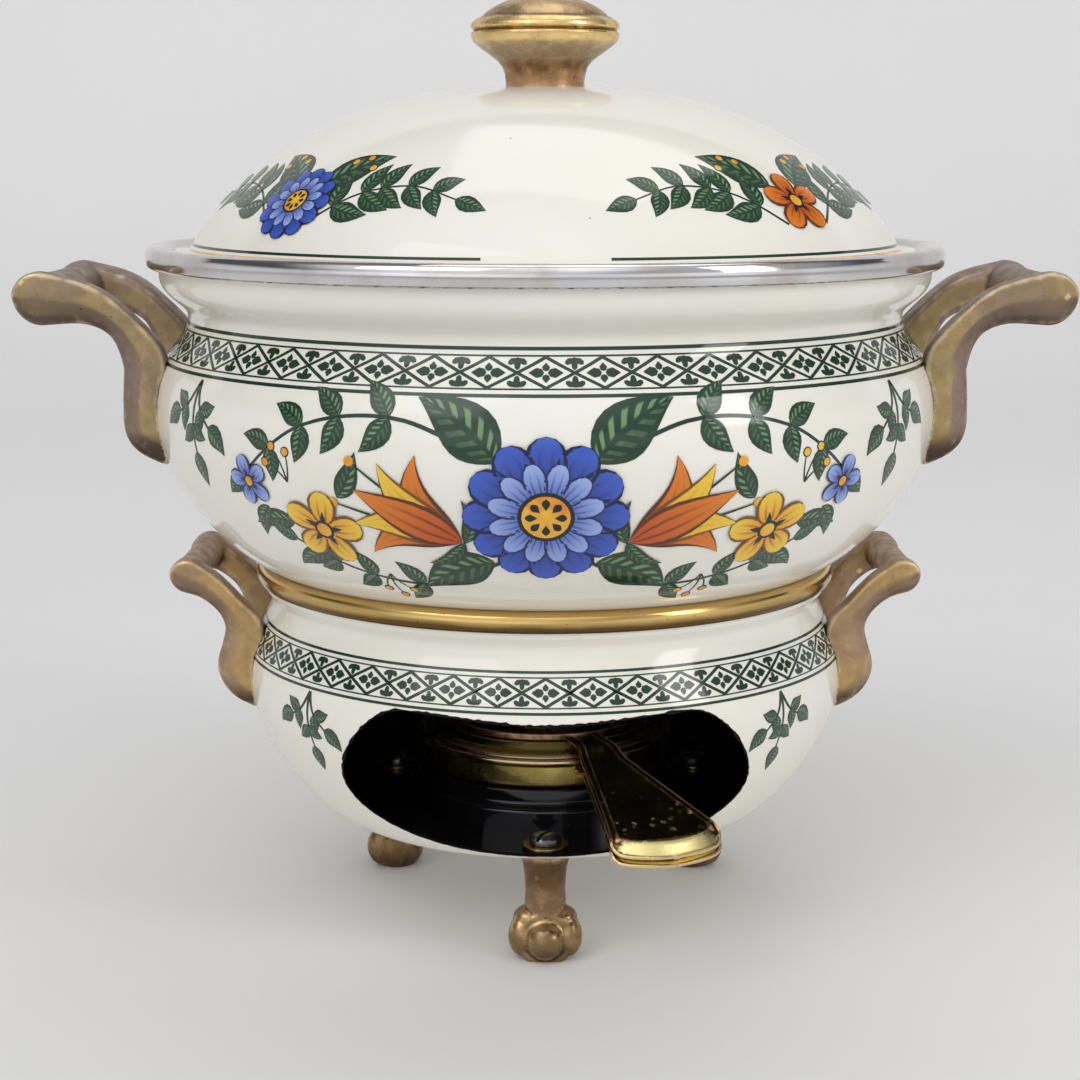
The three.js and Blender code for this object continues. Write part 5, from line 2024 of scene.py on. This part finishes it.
class DISH_OT_prints(bpy.types.Operator):
    """Lays the borders, garlands and sprigs on the enamel"""

    bl_idname = "dish.prints"
    bl_label = "Prints"

    def execute(self, context):
        """Lays the prints."""
        self.pot()
        self.stand()
        self.lid()
        return {"FINISHED"}

    def pot(self):
        """The pot's border, garlands and hanging sprigs."""
        wall = Wall(pot_line())
        band = Sheet(wall, POT_BASE + 76.5)
        border(band, -4.7, 4.7, sizes().pot_lozenge / MM)
        for low, high in ((6.5, 7.5), (4.8, 5.3), (-5.3, -4.8), (-7.5, -6.5)):
            band.ring(low, high)
        band.laid("pot_border_print", "pot")
        sheet = Sheet(wall, POT_BELLY[1])
        drop = drop_stamp()
        back = math.pi * sheet.radius
        top = wall.length_at(POT_BASE + 69.5) - sheet.origin
        for middle in (0, back):
            garland(Moved(sheet, -17), middle, 1.1)
            for side in (1, -1):
                sheet.press(drop, middle + side * 118, top, 0, 1.1, side)
        bpy.data.meshes.remove(drop)
        sheet.laid("pot_garland_print", "pot")

    def stand(self):
        """The stand's border and hanging sprigs."""
        wall = Wall(stand_line())
        band = Sheet(wall, STAND_FLOOR + 57.6)
        border(band, -4.1, 4.1, sizes().stand_lozenge / MM)
        for low, high in ((5.6, 6.4), (4.2, 4.6), (-4.6, -4.2), (-6.4, -5.6)):
            band.ring(low, high)
        drop = drop_stamp()
        for middle in (0, math.pi * band.radius):
            for side in (1, -1):
                band.press(drop, middle + side * 76, -7, 0, 0.9, side)
        bpy.data.meshes.remove(drop)
        band.laid("stand_border_print", "stand")

    def lid(self):
        """The lid's four sprays and broken lines."""
        wall = Wall(lid_line())
        sheet = Sheet(wall, length=24.0)
        star = star_stamp(10, ORANGE)
        round_flower = rosette_stamp(12)
        sprig = sprig_stamp([(0, 0), (16, 9), (34, 10), (48, 3)], 5, 15, 3.9)
        leaf = leaf_stamp(24, 6.5)
        berries = berry_stamp(11, 1.5)
        around = math.tau * sheet.radius
        for i in range(4):
            middle = around * (i + 0.5) / 4
            for flip in (1, -1):
                sheet.press(sprig, middle + flip * 8, -8, flip * 8, 1, flip)
                sheet.press(leaf, middle + flip * 6, 6, flip * 34, 1, flip)
                sheet.press(berries, middle + flip * 14, 8, flip * -20, 1, flip)
            sheet.press(round_flower if i % 2 else star, middle, 0, 0, 1.1, 1, 8)
            low = -17.6
            path = [Vector((middle + along, low)) for along in range(-62, 63, 2)]
            sheet.line(path, 0.42, LINE)
            path = [Vector((middle + along, low - 2)) for along in range(-54, 55, 2)]
            sheet.line(path, 0.5, AMBER)
        for stamp in (star, round_flower, sprig, leaf, berries):
            bpy.data.meshes.remove(stamp)
        sheet.laid("lid_garland_print", "lid")


STEPS = (
    DISH_OT_stage, DISH_OT_stand, DISH_OT_feet, DISH_OT_handles, DISH_OT_screws, DISH_OT_burner,
    DISH_OT_burner_handles, DISH_OT_pot, DISH_OT_lid, DISH_OT_prints,
)


class DISH_PT_panel(bpy.types.Panel):
    """Lists the steps and the values of the dish"""

    bl_idname = "DISH_PT_panel"
    bl_label = "Chafing dish"
    bl_space_type = "VIEW_3D"
    bl_region_type = "UI"
    bl_category = "Chafing dish"

    def draw(self, context):
        """Draws the buttons and fields."""
        for step in STEPS:
            self.layout.operator(step.bl_idname)
        for group in (context.scene.dish_sizes, context.scene.dish_colours):
            for key in group.bl_rna.properties.keys():
                if key not in ("rna_type", "name"):
                    self.layout.prop(group, key)


CLASSES = (DishSizes, DishColours, *STEPS, DISH_PT_panel)


def register():
    """Adds the classes and the scene's values."""
    for item in CLASSES:
        bpy.utils.register_class(item)
    bpy.types.Scene.dish_sizes = bpy.props.PointerProperty(type=DishSizes)
    bpy.types.Scene.dish_colours = bpy.props.PointerProperty(type=DishColours)


def unregister():
    """Removes them."""
    del bpy.types.Scene.dish_colours
    del bpy.types.Scene.dish_sizes
    for item in reversed(CLASSES):
        bpy.utils.unregister_class(item)


def main():
    """Builds the dish."""
    register()
    for step in STEPS:
        group, name = step.bl_idname.split(".")
        getattr(getattr(bpy.ops, group), name)()


if __name__ == "__main__":
    main()
